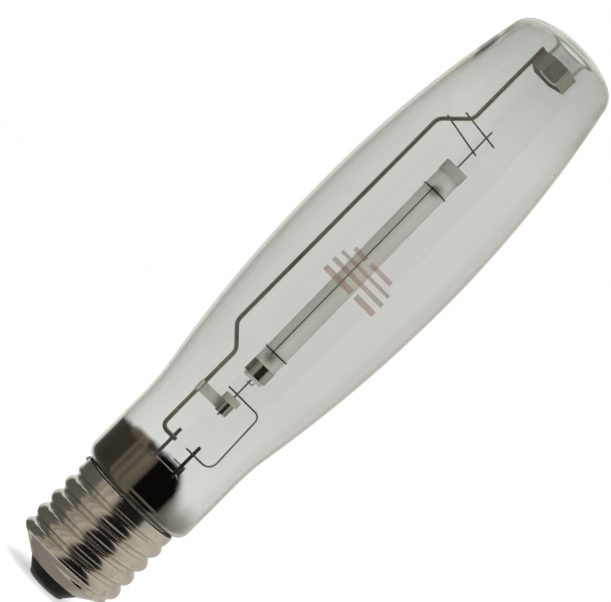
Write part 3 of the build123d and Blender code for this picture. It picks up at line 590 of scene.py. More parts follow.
@dataclass(frozen=True)
class CrownTint:
    """How the crown differs: painted shade greying it upwards, green round the dimple's lip, painted
    reflection streaks at its edges.
    """

    # Painted reflections: streaks of dark surroundings on the crown's edges, by height.
    reflection_streaks: Stops
    reflection_z: Span = (200.0, 250.0)
    reflection_scale: float = 90.0
    reflection_drift: float = 0.12
    reflection_side: Span = (-6.0, 6.0)
    far_side_share: float = 0.35
    # Painted shade: the crown's glass greys upwards over these heights.
    crown_shade: Colour = (0.7, 0.705, 0.685)
    crown_shade_z: Span = (204.0, 246.0)
    dimple: Colour = (0.93, 0.935, 0.92)
    dimple_reach: Span = (6.1, 6.7)
    lip: Colour = (0.1, 0.26, 0.1)
    lip_inner: Span = (6.8, 7.2)
    lip_outer: Span = (8.5, 8.9)
    lip_z: Span = (226.0, 240.0)

    def body(self, nodes: Nodes, colour: Colour) -> Socket:
        """Colour the glass by height and by its distance from the axis; painted shade greys it upwards.

        Args:
            nodes: The material's nodes.
            colour: The glass's colour below the crown.

        Returns:
            The colour.
        """
        x, y, z = nodes.axes()
        squares = nodes.maths("ADD", nodes.maths("MULTIPLY", x, x), nodes.maths("MULTIPLY", y, y))
        reach = nodes.maths("SQRT", squares)
        fading = nodes.over(reach, self.lip_outer, (1.0, 0.0))
        ring = nodes.maths("MULTIPLY", nodes.over(reach, self.lip_inner), fading)
        lip = nodes.maths("MULTIPLY", ring, nodes.over(z, self.lip_z))
        shaded = nodes.mixed(nodes.over(z, self.crown_shade_z), colour, self.crown_shade)
        outside = nodes.mixed(nodes.over(reach, self.dimple_reach), self.dimple, shaded)
        return nodes.mixed(lip, outside, self.lip)

    def edge(self, nodes: Nodes, share: Value) -> tuple[Socket, Socket]:
        """Paint reflection streaks where the glass is seen edge on, by height, weaker on the side away from
        the rod.

        Args:
            nodes: The material's nodes.
            share: How far the surface is seen edge on, 0 to 1.

        Returns:
            The edge's colour, and its share.
        """
        x, _, z = nodes.axes()
        low, high = self.reflection_z
        noise = nodes.noise(nodes.place(), self.reflection_scale)
        drift = nodes.maths("MULTIPLY_ADD", noise, self.reflection_drift, -self.reflection_drift / 2)
        rise = nodes.maths("MULTIPLY_ADD", z, 1 / (MM * (high - low)), -low / (high - low))
        colour = nodes.ramp(nodes.maths("ADD", rise, drift), self.reflection_streaks)
        weaker = nodes.over(x, self.reflection_side, (1.0, self.far_side_share))
        return colour, nodes.maths("MULTIPLY", share, weaker)


@dataclass(frozen=True)
class GlassFinish:
    """Clear blown glass: a slight tint, painted shade greying it where seen edge on, with soft drawn waves.
    """

    name: str
    colour: Colour
    # Painted shade where the glass is seen edge on.
    edge_shade_colour: Colour
    edge_facing: Span = (0.6, 0.95)
    crown: CrownTint | None = None
    roughness: float = 0.0
    refraction: float = 1.48
    wave_stretch: Place = (1.0, 1.0, 0.35)
    wave_scale: float = 38.0
    wave_bump: float = 0.15
    wave_depth: float = 0.3
    shadow_pass: float = 0.88

    def build(self, effects: Effects) -> bpy.types.Material:
        """Make the material. Shadow rays pass most of the light, as thin clear glass does.

        Args:
            effects: The shared groups, which glass has no use for.

        Returns:
            The material.
        """
        material, nodes, shader = new_material(self.name)
        facing = nodes.add("ShaderNodeLayerWeight", Blend=0.5).outputs["Facing"]
        tint, edge_shade, edge = self.colour, self.edge_shade_colour, nodes.between(facing, *self.edge_facing)
        if self.crown:
            tint = self.crown.body(nodes, self.colour)
            edge_shade, edge = self.crown.edge(nodes, edge)
        waves = nodes.noise(nodes.place(self.wave_stretch), self.wave_scale)
        shadow = nodes.add("ShaderNodeLightPath").outputs["Is Shadow Ray"]
        passed = nodes.maths("MULTIPLY", shadow, self.shadow_pass)
        # Painted shade and painted reflections at the edges go into the glass's colour.
        nodes.feed(shader, "Base Color", nodes.mixed(edge, tint, edge_shade))
        nodes.feed(shader, "Roughness", self.roughness)
        nodes.feed(shader, "IOR", self.refraction)
        nodes.feed(shader, "Transmission Weight", 1.0)
        nodes.feed(shader, "Normal", nodes.bump(waves, self.wave_bump, self.wave_depth))
        nodes.feed(shader, "Alpha", nodes.maths("SUBTRACT", 1.0, passed))
        return material


@dataclass(frozen=True)
class FilmFinish:
    """Getter mirror flashed on the neck: dark metallic, wavy, thinning out at its upper edge."""

    name: str = "getter_mirror_film"
    colour: Colour = (0.3, 0.26, 0.21)
    dark: Colour = (0.19, 0.165, 0.13)
    roughness: float = 0.06
    edge_z: float = 56.4
    edge_spread: float = 1.6
    edge_wander: float = 3.0
    edge_stretch: Place = (1.0, 1.0, 0.4)
    edge_scale: float = 150.0
    thin_x: Span = (4.0, 15.0)
    thin_drop: float = 10.5
    thin_spread: float = 6.0
    veil_x: Span = (8.0, 11.0)
    veil_cover: float = 0.52
    drift_stretch: Place = (1.0, 1.0, 0.45)
    drift_scale: float = 70.0
    drift_bump: float = 0.35
    drift_depth: float = 0.5

    def build(self, effects: Effects) -> bpy.types.Material:
        """Make the material. Its cover ends at a ragged height, lower and softer on the thin side.

        Args:
            effects: The shared groups, which the film has no use for.

        Returns:
            The material.
        """
        material, nodes, shader = new_material(self.name)
        x, _, z = nodes.axes()
        thin = nodes.over(x, self.thin_x)
        ragged = nodes.noise(nodes.place(self.edge_stretch), self.edge_scale, 4.0)
        wander = nodes.maths("MULTIPLY", nodes.maths("SUBTRACT", ragged, 0.5), self.edge_wander * MM)
        edge = nodes.maths("SUBTRACT", self.edge_z * MM, nodes.maths("MULTIPLY", thin, self.thin_drop * MM))
        softer = nodes.maths("MULTIPLY", thin, self.thin_spread * MM)
        spread = nodes.maths("ADD", self.edge_spread * MM, softer)
        above = nodes.maths("SUBTRACT", nodes.maths("ADD", z, wander), edge)
        cover = nodes.between(nodes.maths("DIVIDE", above, spread), -1.0, 1.0, (1.0, 0.0))
        veil = nodes.over(x, self.veil_x, (1.0, self.veil_cover))
        drift = nodes.noise(nodes.place(self.drift_stretch), self.drift_scale)
        nodes.feed(shader, "Alpha", nodes.maths("MULTIPLY", cover, veil))
        sheen = nodes.between(drift, 0.35, 0.65)
        nodes.feed(shader, "Base Color", nodes.mixed(sheen, self.dark, self.colour))
        nodes.feed(shader, "Metallic", 1.0)
        nodes.feed(shader, "Roughness", self.roughness)
        nodes.feed(shader, "Normal", nodes.bump(drift, self.drift_bump, self.drift_depth))
        return material


@dataclass(frozen=True)
class InkFinish:
    """Print fired on the glass, thin enough to show light through in specks."""

    name: str = "fired_print"
    colour: Colour = (0.17, 0.09, 0.055)
    pale: Colour = (0.272, 0.144, 0.088)
    roughness: float = 0.7
    grain_scale: float = 4200.0
    cover: Span = (0.228, 0.38)

    def build(self, effects: Effects) -> bpy.types.Material:
        """Make the material: matte brown with a cover that varies in fine grain.

        Args:
            effects: The shared groups, which the ink has no use for.

        Returns:
            The material.
        """
        material, nodes, shader = new_material(self.name)
        grain = nodes.noise(nodes.place(), self.grain_scale)
        nodes.feed(shader, "Base Color", nodes.mixed(grain, self.colour, self.pale))
        nodes.feed(shader, "Alpha", nodes.between(grain, 0.25, 0.6, self.cover))
        nodes.feed(shader, "Roughness", self.roughness)
        return material


# Painted reflections of dark surroundings on the crown's edges, by share of height.
CROWN_REFLECTIONS: Stops = (
    (0.0, (0.8, 0.805, 0.785)),
    (0.24, (0.74, 0.72, 0.58)),
    (0.42, (0.62, 0.59, 0.44)),
    (0.46, (0.03, 0.028, 0.02)),
    (0.58, (0.025, 0.023, 0.018)),
    (0.63, (0.62, 0.6, 0.46)),
    (0.69, (0.08, 0.075, 0.06)),
    (0.77, (0.1, 0.095, 0.075)),
    (0.84, (0.56, 0.57, 0.51)),
    (1.0, (0.6, 0.59, 0.55)),
)


class Finish(Enum):
    """The lamp's finishes, by the material they are made of."""

    BULB_GLASS = GlassFinish(
        "bulb_glass",
        (0.8, 0.805, 0.785),
        (0.6, 0.59, 0.55),
        edge_facing=(0.5, 0.8),
        crown=CrownTint(CROWN_REFLECTIONS),
    )
    STEM_GLASS = GlassFinish("stem_glass", (0.9, 0.91, 0.9), (0.6, 0.6, 0.56), wave_scale=120.0)
    SHELL_NICKEL = MetalFinish(
        "shell_nickel",
        (0.66, 0.63, 0.58),
        (0.3, 0.27, 0.24),
        roughness=0.17,
        stain_level=0.52,
        stain_share=0.45,
        line_scale=1500.0,
        line_bump=0.1,
        line_way=Way.ROUND,
    )
    VITREOUS_BLACK = CeramicFinish(
        "insulator_black",
        (0.008, 0.008, 0.008),
        (0.018, 0.017, 0.016),
        roughness=0.22,
        gloss=0.15,
        grain_bump=0.05,
    )
    # Painted shade: the contact is near black for the shade at the lamp's foot, not its own brass.
    CONTACT_METAL = MetalFinish("contact_metal", (0.13, 0.12, 0.11), (0.06, 0.05, 0.045), roughness=0.4)
    SOLDER = MetalFinish(
        "solder", (0.55, 0.55, 0.55), (0.33, 0.32, 0.31), roughness=0.34, stain_scale=500.0
    )
    # Painted shade: the cement is dark for the gap between the shell's rim and the glass, not its own
    # beige.
    CEMENT = CeramicFinish("basing_cement", (0.1, 0.085, 0.065), (0.06, 0.05, 0.04), roughness=0.9)
    WIRE_NICKEL = MetalFinish("wire_nickel", (0.56, 0.53, 0.49), (0.3, 0.26, 0.22), roughness=0.28)
    POST_STEEL = MetalFinish("post_steel", (0.2, 0.185, 0.16), (0.1, 0.09, 0.08), roughness=0.4)
    ROD_NICKEL = MetalFinish(
        "rod_nickel",
        (0.62, 0.59, 0.54),
        (0.34, 0.3, 0.26),
        roughness=0.26,
        stain_scale=90.0,
        stain_level=0.42,
    )
    CLIP_NICKEL = MetalFinish(
        "clip_nickel", (0.6, 0.575, 0.53), (0.4, 0.375, 0.34), roughness=0.32, metallic=0.75
    )
    GETTER_STEEL = MetalFinish("getter_steel", (0.3, 0.27, 0.25), (0.1, 0.09, 0.08), roughness=0.42)
    STRAP_STEEL = MetalFinish(
        "strap_steel", (0.86, 0.85, 0.77), (0.45, 0.43, 0.38), roughness=0.45, metallic=0.5
    )
    NIOBIUM = MetalFinish("niobium", (0.6, 0.58, 0.57), (0.36, 0.34, 0.33), roughness=0.22)
    MOLYBDENUM = MetalFinish("molybdenum", (0.07, 0.065, 0.06), (0.04, 0.035, 0.03), roughness=0.4)
    TUNGSTEN = MetalFinish("tungsten", (0.1, 0.09, 0.085), (0.04, 0.035, 0.03), roughness=0.5)
    BAND_FOIL = MetalFinish(
        "band_foil", (0.72, 0.71, 0.7), (0.45, 0.43, 0.4), roughness=0.1, stain_share=0.35
    )
    BAND_MATTE = MetalFinish(
        "band_matte", (0.56, 0.55, 0.5), (0.4, 0.385, 0.35), roughness=0.5, metallic=0.3
    )
    AMALGAM = MetalFinish("amalgam", (0.7, 0.7, 0.71), (0.4, 0.4, 0.4), roughness=0.12)
    BUSH_CERAMIC = CeramicFinish(
        "bush_ceramic", (0.5, 0.47, 0.38), (0.4, 0.37, 0.3), roughness=0.6, subsurface=0.3
    )
    ALUMINA = CeramicFinish(
        "alumina",
        (0.99, 0.98, 0.91),
        (0.95, 0.935, 0.86),
        let_through=0.42,
        subsurface=0.3,
        shadow_z=(104.6, 180.8),
    )
    FILM = FilmFinish()
    INK = InkFinish()


class Dresser:
    """Builds each finish once and puts it on pieces."""

    def __init__(self) -> None:
        """Build the shared groups."""
        self.effects = Effects()
        self.made: dict[Finish, bpy.types.Material] = {}

    def material(self, finish: Finish) -> bpy.types.Material:
        """Return a finish's material, built when it is first asked for."""
        if finish not in self.made:
            self.made[finish] = finish.value.build(self.effects)
        return self.made[finish]

    def dress(self, piece: bpy.types.Object, finish: Finish) -> None:
        """Give a new piece one finish all over."""
        piece.data.materials.append(self.material(finish))

    def dress_node(self, node: str, finish: Finish) -> None:
        """Give a carried-over node one finish all over."""
        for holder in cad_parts[node].material_slots:
            holder.material = self.material(finish)


def seat(piece: bpy.types.Object, slot: str, *nodes: str) -> None:
    """Let a new piece ride on the lamp and stand for the nodes it replaces.

    Args:
        piece: The new piece.
        slot: The name of its slot; not used.
        nodes: The nodes that it replaces, if any.
    """
    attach(piece, BODY)
    if nodes:
        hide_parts(*nodes)
    LOG.info("%s: %d faces", piece.name, len(piece.data.polygons))


# Sub-assemblies


@dataclass(frozen=True)
class PrintBar:
    """A plain bar printed on the bulb: its middle height, its width along Z and its span across in x."""

    middle: float
    width: float
    start: float
    end: float


@dataclass
class Bulb:
    """The blown glass bulb with its dimpled crown, its plain print bars and the getter film."""

    wall: float = 0.9
    tail_radius: float = 16.2
    tail_bottom: float = 24.0
    tail_fillet: float = 0.6
    neck_foot: float = 40.5
    neck_radius: float = 21.5
    neck_shoulder: float = 4.6
    neck_blend: float = 80.0
    radius: float = 28.9
    widest_z: float = 157.5
    lower_bulge: float = 470.0
    upper_bulge: float = 398.0
    dome_corner: float = 8.0
    crown_radius: float = 37.0
    crown_z: float = 247.7
    dimple_radius: float = 4.95
    dimple_lip: float = 4.0
    dimple_floor: float = 233.4
    dimple_fillet: float = 2.5
    columns: int = 192
    film_foot: float = 41.4
    film_top: float = 60.5
    film_gap: float = 0.05
    film_depth: float = 0.04
    print_lift: float = 0.02
    print_depth: float = 0.02
    bar_rows: int = 5
    bar_columns: int = 25
    bars: tuple[PrintBar, ...] = (
        PrintBar(137.8, 2.1, -8.2, 3.4),
        PrintBar(137.8, 2.1, 5.2, 13.4),
        PrintBar(141.6, 1.6, -8.2, 13.4),
        PrintBar(145.0, 1.2, -7.9, 13.0),
        PrintBar(148.4, 1.6, -5.6, -0.4),
        PrintBar(148.4, 1.6, 1.4, 10.6),
    )

    def line(self, inset: float) -> Outline:
        """Sample the bulb's line from tail to dimple centre, moved into the glass by an inset.

        It is a chain of tangent arcs and short straights: tail, foot, shoulder, neck, long lower and
        upper bulges, crown corner, crown, dimple lip, dimple wall and dimple floor. Each part's last
        number is the distance between its points.

        Args:
            inset: Distance from the air side into the glass.

        Returns:
            The line's (r, z) points.
        """
        lower = (self.radius - self.lower_bulge, self.widest_z)
        upper = (self.radius - self.upper_bulge, self.widest_z)
        crown = (0.0, self.crown_z - self.crown_radius)
        blend_x = self.neck_radius + self.neck_blend
        drop = math.sqrt((self.lower_bulge + self.neck_blend) ** 2 - (blend_x - lower[0]) ** 2)
        blend = (blend_x, self.widest_z - drop)
        corner = upper_meeting(
            upper, self.upper_bulge - self.dome_corner, crown, self.crown_radius - self.dome_corner
        )
        lip_x = self.dimple_radius + self.dimple_lip
        lip = (lip_x, crown[1] + math.sqrt((self.crown_radius - self.dimple_lip) ** 2 - lip_x**2))
        tail = (self.tail_radius + self.tail_fillet, self.neck_foot - self.tail_fillet)
        shoulder = (self.neck_radius - self.neck_shoulder, self.neck_foot + self.neck_shoulder)
        floor_x = self.dimple_radius - self.dimple_fillet
        floor = (floor_x, self.dimple_floor + self.dimple_fillet)
        to_lower, to_corner = bearing(lower, blend), bearing(upper, corner)
        to_crown, to_lip = bearing(crown, corner), bearing(crown, lip)
        tail_x, neck_x = self.tail_radius - inset, self.neck_radius - inset
        foot_z, floor_z = self.neck_foot + inset, self.dimple_floor - inset
        wall_x = self.dimple_radius + inset
        return joined(
            [
                line_points((tail_x, self.tail_bottom), (tail_x, tail[1]), 4.0),
                arc_points(tail, self.tail_fillet + inset, 180, 90, 0.25),
                line_points((tail[0], foot_z), (shoulder[0], foot_z), 0.5),
                arc_points(shoulder, self.neck_shoulder - inset, -90, 0, 0.6),
                line_points((neck_x, shoulder[1]), (neck_x, blend[1]), 2.5),
                arc_points(blend, self.neck_blend + inset, 180, to_lower + 180, 2.5),
                arc_points(lower, self.lower_bulge - inset, to_lower, 0, 3.0),
                arc_points(upper, self.upper_bulge - inset, 0, to_corner, 3.0),
                arc_points(corner, self.dome_corner - inset, to_corner, to_crown, 0.6),
                arc_points(crown, self.crown_radius - inset, to_crown, to_lip, 0.9),
                arc_points(lip, self.dimple_lip - inset, to_lip, 180, 0.35),
                line_points((wall_x, lip[1]), (wall_x, floor[1]), 0.7),
                arc_points(floor, self.dimple_fillet + inset, 0, -90, 0.3),
                line_points((floor_x, floor_z), (0.0, floor_z), 0.6),
            ]
        )

    def build_glass(self, dresser: Dresser) -> None:
        """Turn the wall: the air side from the dimple down to the tail, then the inside back up."""
        outline = joined([self.line(0.0)[::-1], self.line(self.wall)])
        glass = lathe_mesh("bulb_glass", outline, self.columns)
        dresser.dress(glass, Finish.BULB_GLASS)
        seat(glass, "bulb_glass", "outer_bulb")

    def film_skin(self, inset: float) -> Outline:
        """Return the stretch of the neck's line that the film covers, at an inset into the glass."""
        line = self.line(inset)
        radius, height = line.T
        return line[(height > self.film_foot) & (height < self.film_top) & (radius > self.tail_radius)]

    def build_film(self, dresser: Dresser) -> None:
        """Turn the getter's mirror film as a thin closed skin lying just inside the neck."""
        outer = self.wall + self.film_gap
        outline = np.concatenate([self.film_skin(outer)[::-1], self.film_skin(outer + self.film_depth)])
        film = lathe_mesh("getter_mirror_film", outline, self.columns)
        dresser.dress(film, Finish.FILM)
        seat(film, "getter_nickel")

    def bar_face(self, bar: PrintBar, lift: float) -> np.ndarray:
        """Lay a grid over a bar: x straight across, y on the bulb's circle at that height plus a lift.

        Args:
            bar: The bar.
            lift: Distance off the glass.

        Returns:
            Array of rows by columns by 3.
        """
        line = self.line(0.0)
        line = line[: np.argmax(line[:, 0])]
        height = np.linspace(bar.middle - bar.width / 2, bar.middle + bar.width / 2, self.bar_rows)
        z, across = np.meshgrid(height, np.linspace(bar.start, bar.end, self.bar_columns), indexing="ij")
        radius = np.interp(z, line[:, 1], line[:, 0]) + lift
        return np.stack([across, -np.sqrt(radius**2 - across**2), z], axis=-1)

    def build_print(self, dresser: Dresser) -> None:
        """Lay plain bars on the bulb's front: thin closed plates that follow its wall.

        Each plate joins a lower and an upper face whose short ends meet at half height.
        """
        for index, bar in enumerate(self.bars, start=1):
            under = self.bar_face(bar, self.print_lift)
            over = self.bar_face(bar, self.print_lift + self.print_depth)
            ends = (under + over) / 2
            under[:, [0, -1]] = over[:, [0, -1]] = ends[:, [0, -1]]
            plate = grid_mesh(f"print_bar_{index}", np.concatenate([under[::-1], over]), True, False)
            merge_close_points(plate)
            dresser.dress(plate, Finish.INK)
            seat(plate, "bulb_glass")

    def build(self, dresser: Dresser) -> None:
        """Build the glass, the film and the print."""
        self.build_glass(dresser)
        self.build_film(dresser)
        self.build_print(dresser)


@dataclass
class ScrewShell:
    """The rolled thread shell: one thin sheet, waved inside and out by its right-hand thread."""

    sheet: float = 0.4
    lip_radius: float = 10.9
    lip_z: float = 5.0
    cone_slope: float = 1.5
    shoulder: float = 4.5
    rim_radius: float = 18.95
    rim_z: float = 39.9
    pitch: float = 6.35
    crest_radius: float = 19.55
    depth: float = 1.6
    crest_share: float = 0.74
    start_z: float = 1.6
    fade_in: float = 3.0
    fade_out: float = 2.4
    band: float = 2.7
    rows: int = 330
    columns: int = 150
    nudge: float = 0.05

    def wave(self, turns: np.ndarray) -> np.ndarray:
        """Work out the thread's wave from a wide arc over each crest and a narrow one in each root.

        Both arcs reach the same slope, 2 atan(2 depth / pitch), where they meet.

        Args:
            turns: Turns of thread up from a crest.

        Returns:
            1 on a crest and -1 in a root.
        """
        half, rise = self.pitch / 2, self.depth / 2
        width = self.crest_share * half
        steep = math.sin(2 * math.atan(self.depth / half))
        reach = np.abs((turns + 0.5) % 1.0 - 0.5) * self.pitch
        crest_radius, root_radius = width / steep, (half - width) / steep
        crest = 1 - (crest_radius - np.sqrt(np.maximum(crest_radius**2 - reach**2, 0))) / rise
        root = (root_radius - np.sqrt(np.maximum(root_radius**2 - (half - reach) ** 2, 0))) / rise - 1
        return np.where(reach <= width, crest, root)

    def shoulder_arc(self) -> tuple[float, float, float]:
        """Find the arc that touches both the cone and the thread's middle radius.

        Returns:
            Its centre's radius and height, and the height where it meets the cone.
        """
        steep = math.hypot(self.cone_slope, 1)
        centre_r = self.crest_radius - self.depth / 2 - self.shoulder
        meet_r = centre_r + self.shoulder / steep
        meet_z = self.lip_z + (meet_r - self.lip_radius) / self.cone_slope
        return centre_r, meet_z + self.shoulder * self.cone_slope / steep, meet_z

    def radius(self, z: np.ndarray, turn: np.ndarray) -> np.ndarray:
        """Work out the sheet's outer radius: cone, shoulder arc, wall and rim band, plus the fading wave.

        Args:
            z: Heights.
            turn: Shares of a turn round the axis.

        Returns:
            The radius at each height and share.
        """
        centre_r, centre_z, meet_z = self.shoulder_arc()
        middle = self.crest_radius - self.depth / 2
        band_z = self.rim_z - self.band
        to_band = smoothstep(z, band_z - self.fade_out, band_z)
        cone = self.lip_radius + (z - self.lip_z) * self.cone_slope
        rounded = centre_r + np.sqrt(np.maximum(self.shoulder**2 - (centre_z - z) ** 2, 0))
        wall = middle + (self.rim_radius - middle) * to_band
        base = np.where(z <= meet_z, cone, np.where(z < centre_z, rounded, wall))
        start = meet_z - self.fade_in / 2
        swell = smoothstep(z, start, start + self.fade_in) * (1 - to_band)
        return base + self.depth / 2 * swell * self.wave((z - self.start_z) / self.pitch - turn)

    def build(self, dresser: Dresser) -> None:
        """Build both faces of the sheet as one closed grid, rim and lip joined across its thickness.

        The inside is the outside moved square to its slope by the sheet's thickness.
        """
        z = np.linspace(self.lip_z, self.rim_z, self.rows)[:, None]
        turn = np.linspace(0, 1, self.columns, endpoint=False)[None, :]
        outer = self.radius(z, turn)
        rise = self.radius(z + self.nudge, turn) - self.radius(z - self.nudge, turn)
        slope = rise / (2 * self.nudge)
        length = np.hypot(1, slope)
        inner = outer - self.sheet / length
        inner_z = z + self.sheet * slope / length
        radii = np.concatenate([outer[::-1], inner])
        heights = np.concatenate([np.broadcast_to(z, outer.shape)[::-1], inner_z])
        angle = TAU * turn
        grid = np.stack([radii * np.cos(angle), radii * np.sin(angle), heights], axis=-1)
        shell = grid_mesh("thread_shell", grid, True, True)
        dresser.dress(shell, Finish.SHELL_NICKEL)
        seat(shell, "shell_nickel", "screw_shell")


@dataclass(frozen=True)
class CarriedParts:
    """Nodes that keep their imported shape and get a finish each."""

    finishes: tuple[tuple[Finish, tuple[str, ...]], ...]

    def build(self, dresser: Dresser) -> None:
        """Dress every node."""
        for finish, nodes in self.finishes:
            for node in nodes:
                dresser.dress_node(node, finish)
                LOG.info("%s: %s", node, finish.name.lower())


BASE_PARTS = CarriedParts(
    (
        (Finish.VITREOUS_BLACK, ("base_insulator",)),
        (Finish.CONTACT_METAL, ("centre_contact",)),
        (Finish.SOLDER, ("contact_solder", "side_solder")),
        (Finish.CEMENT, ("basing_cement",)),
        (Finish.STEM_GLASS, ("stem", "exhaust_tube")),
        (Finish.WIRE_NICKEL, ("centre_lead", "side_lead")),
    )
)
MOUNT_PARTS = CarriedParts(
    (
        (Finish.POST_STEEL, ("lead_post_frame", "lead_post_return", "getter_wire")),
        (Finish.GETTER_STEEL, ("getter_ring",)),
        (Finish.ROD_NICKEL, ("side_rod",)),
        (Finish.CLIP_NICKEL, ("dimple_clip",)),
        (Finish.WIRE_NICKEL, ("tie_wire_lower", "tie_wire_upper", "feed_wire")),
        (Finish.STRAP_STEEL, ("bush_strap",)),
        (Finish.BUSH_CERAMIC, ("bush_ceramic",)),
        (Finish.BAND_FOIL, ("bush_sleeve",)),
        (Finish.NIOBIUM, ("lead_stop_wire",)),
    )
)
ARC_TUBE_PARTS = CarriedParts(
    (
        (Finish.ALUMINA, ("arc_tube", "upper_end_plug", "lower_end_plug")),
        (Finish.AMALGAM, ("amalgam_dose",)),
        (Finish.MOLYBDENUM, ("starting_aid_wire", "starting_aid_loop_lower", "starting_aid_loop_upper")),
        (Finish.NIOBIUM, ("upper_niobium_lead", "lower_niobium_lead")),
        (Finish.TUNGSTEN, ("upper_electrode_rod", "lower_electrode_rod")),
        (Finish.TUNGSTEN, ("upper_electrode_coil", "lower_electrode_coil")),
        (Finish.BAND_MATTE, ("upper_heat_band",)),
        (Finish.BAND_FOIL, ("lower_heat_band",)),
    )
)


# Studio


FRONT_DARK: Colour = (0.013, 0.012, 0.011)
FRONT_PALE: Colour = (0.42, 0.39, 0.35)
RING: Colour = (0.62, 0.59, 0.53)
OVERHEAD: Colour = (0.85, 0.82, 0.76)
WALL_STOPS: Stops = (
    (-180.0, (0.9, 0.88, 0.84)),
    (-152.0, (0.8, 0.78, 0.74)),
    (-138.0, (0.13, 0.125, 0.11)),
    (-70.0, (0.15, 0.14, 0.125)),
    (-62.0, (0.46, 0.42, 0.35)),
    (-55.0, (0.3, 0.27, 0.22)),
    (-47.0, (0.54, 0.49, 0.41)),
    (-38.0, (0.38, 0.34, 0.28)),
    (-30.0, (0.6, 0.55, 0.46)),
    (-18.0, (0.44, 0.4, 0.34)),
    (-9.0, FRONT_DARK),
    (47.0, FRONT_DARK),
    (56.0, (0.56, 0.52, 0.45)),
    (95.0, (0.7, 0.66, 0.58)),
    (150.0, (0.58, 0.55, 0.5)),
    (180.0, (0.9, 0.88, 0.84)),
)
FLOOR_STOPS: Stops = tuple(
    (angle, FRONT_PALE if glow == FRONT_DARK else glow) for angle, glow in WALL_STOPS
)
UNDER_STOPS: Stops = (
    (-180.0, (0.6, 0.57, 0.52)),
    (-90.0, (0.25, 0.235, 0.21)),
    (-40.0, (0.3, 0.28, 0.25)),
    (40.0, (0.3, 0.28, 0.25)),
    (90.0, (0.5, 0.47, 0.42)),
    (180.0, (0.6, 0.57, 0.52)),
)


def plain_stops(glow: Colour) -> Stops:
    """Return stops that glow alike all round."""
    return ((-180.0, glow), (180.0, glow))


def turned_stops(back: float, front: float) -> Stops:
    """Move the wall's dark left part between two other bearings, for the higher walls.

    Args:
        back: Bearing of its end behind the lamp.
        front: Bearing of its end towards the camera.

    Returns:
        The stops.
    """
    bright, dark, streak = WALL_STOPS[0][1], WALL_STOPS[2][1], WALL_STOPS[4][1]
    kept = tuple(stop for stop in WALL_STOPS if stop[0] > -60.0)
    edges = ((back - 5.0, bright), (back + 5.0, dark), (front - 4.0, dark), (front + 4.0, streak))
    return ((-180.0, bright), *edges, *kept)


@dataclass(frozen=True)
class Card:
    """A card that only reflections see: an (r, z) line carried right round the lamp.

    Its glow runs through (bearing, colour) stops, bearing 0 towards the camera, growing to +X.
    """

    name: str
    start: Point
    end: Point
    stops: Stops
    columns: int = 97

    def material(self) -> bpy.types.Material:
        """Make the card's material.

        It glows only for light that has bounced off metal or glass. What the camera sees straight, or
        straight through the glass, passes it and meets the white set behind.

        Returns:
            The material.
        """
        material, nodes, output = new_set_material(self.name)
        depth = nodes.add("ShaderNodeLightPath").outputs["Glossy Depth"]
        x, y, _ = nodes.axes()
        turned = nodes.maths("ARCTAN2", x, nodes.maths("MULTIPLY", y, -1.0))
        share = nodes.maths("MULTIPLY_ADD", turned, 1 / TAU, 0.5)
        colour = nodes.ramp(share, tuple((angle / 360 + 0.5, glow) for angle, glow in self.stops))
        glow = nodes.add("ShaderNodeEmission", Color=colour, Strength=1.0)
        passing = nodes.add("ShaderNodeBsdfTransparent")
        bounced = nodes.maths("GREATER_THAN", depth, 0.5)
        either = nodes.add("ShaderNodeMixShader")
        nodes.feed_all(either, {0: bounced, 1: passing.outputs[0], 2: glow.outputs[0]})
        nodes.feed(output, "Surface", either.outputs[0])
        return material

    def build(self) -> None:
        """Stand the card in the set: x = r sin a, y = -r cos a along its line."""
        bearings = np.linspace(-math.pi, math.pi, self.columns)[None, :]
        radii, heights = np.array((self.start, self.end)).T[:, :, None]
        x, y = radii * np.sin(bearings), -radii * np.cos(bearings)
        grid = np.stack([x, y, np.broadcast_to(heights, x.shape)], axis=-1)
        sheet = grid_mesh(self.name, grid, False, False)
        sheet.data.materials.append(self.material())
        for ray in ("camera", "diffuse", "volume_scatter", "shadow"):
            setattr(sheet, f"visible_{ray}", False)


@dataclass(frozen=True)
class Lamp:
    """A wide soft lamp that lights the set but shows in no reflection."""

    name: str
    place: Place
    size: float
    power: float

    def build(self, aim: Vector) -> None:
        """Hang the lamp and turn it to a point, given in metres."""
        data = bpy.data.lights.new(self.name, "AREA")
        data.shape = "DISK"
        data.size = self.size * MM
        data.energy = self.power
        lamp = bpy.data.objects.new(self.name, data)
        bpy.context.scene.collection.objects.link(lamp)
        spot = Vector(self.place) * MM
        turn = (aim - spot).to_track_quat("-Z", "Y").to_matrix().to_4x4()
        lamp.matrix_world = Matrix.Translation(spot) @ turn
        lamp.visible_glossy = False
        lamp.visible_transmission = False


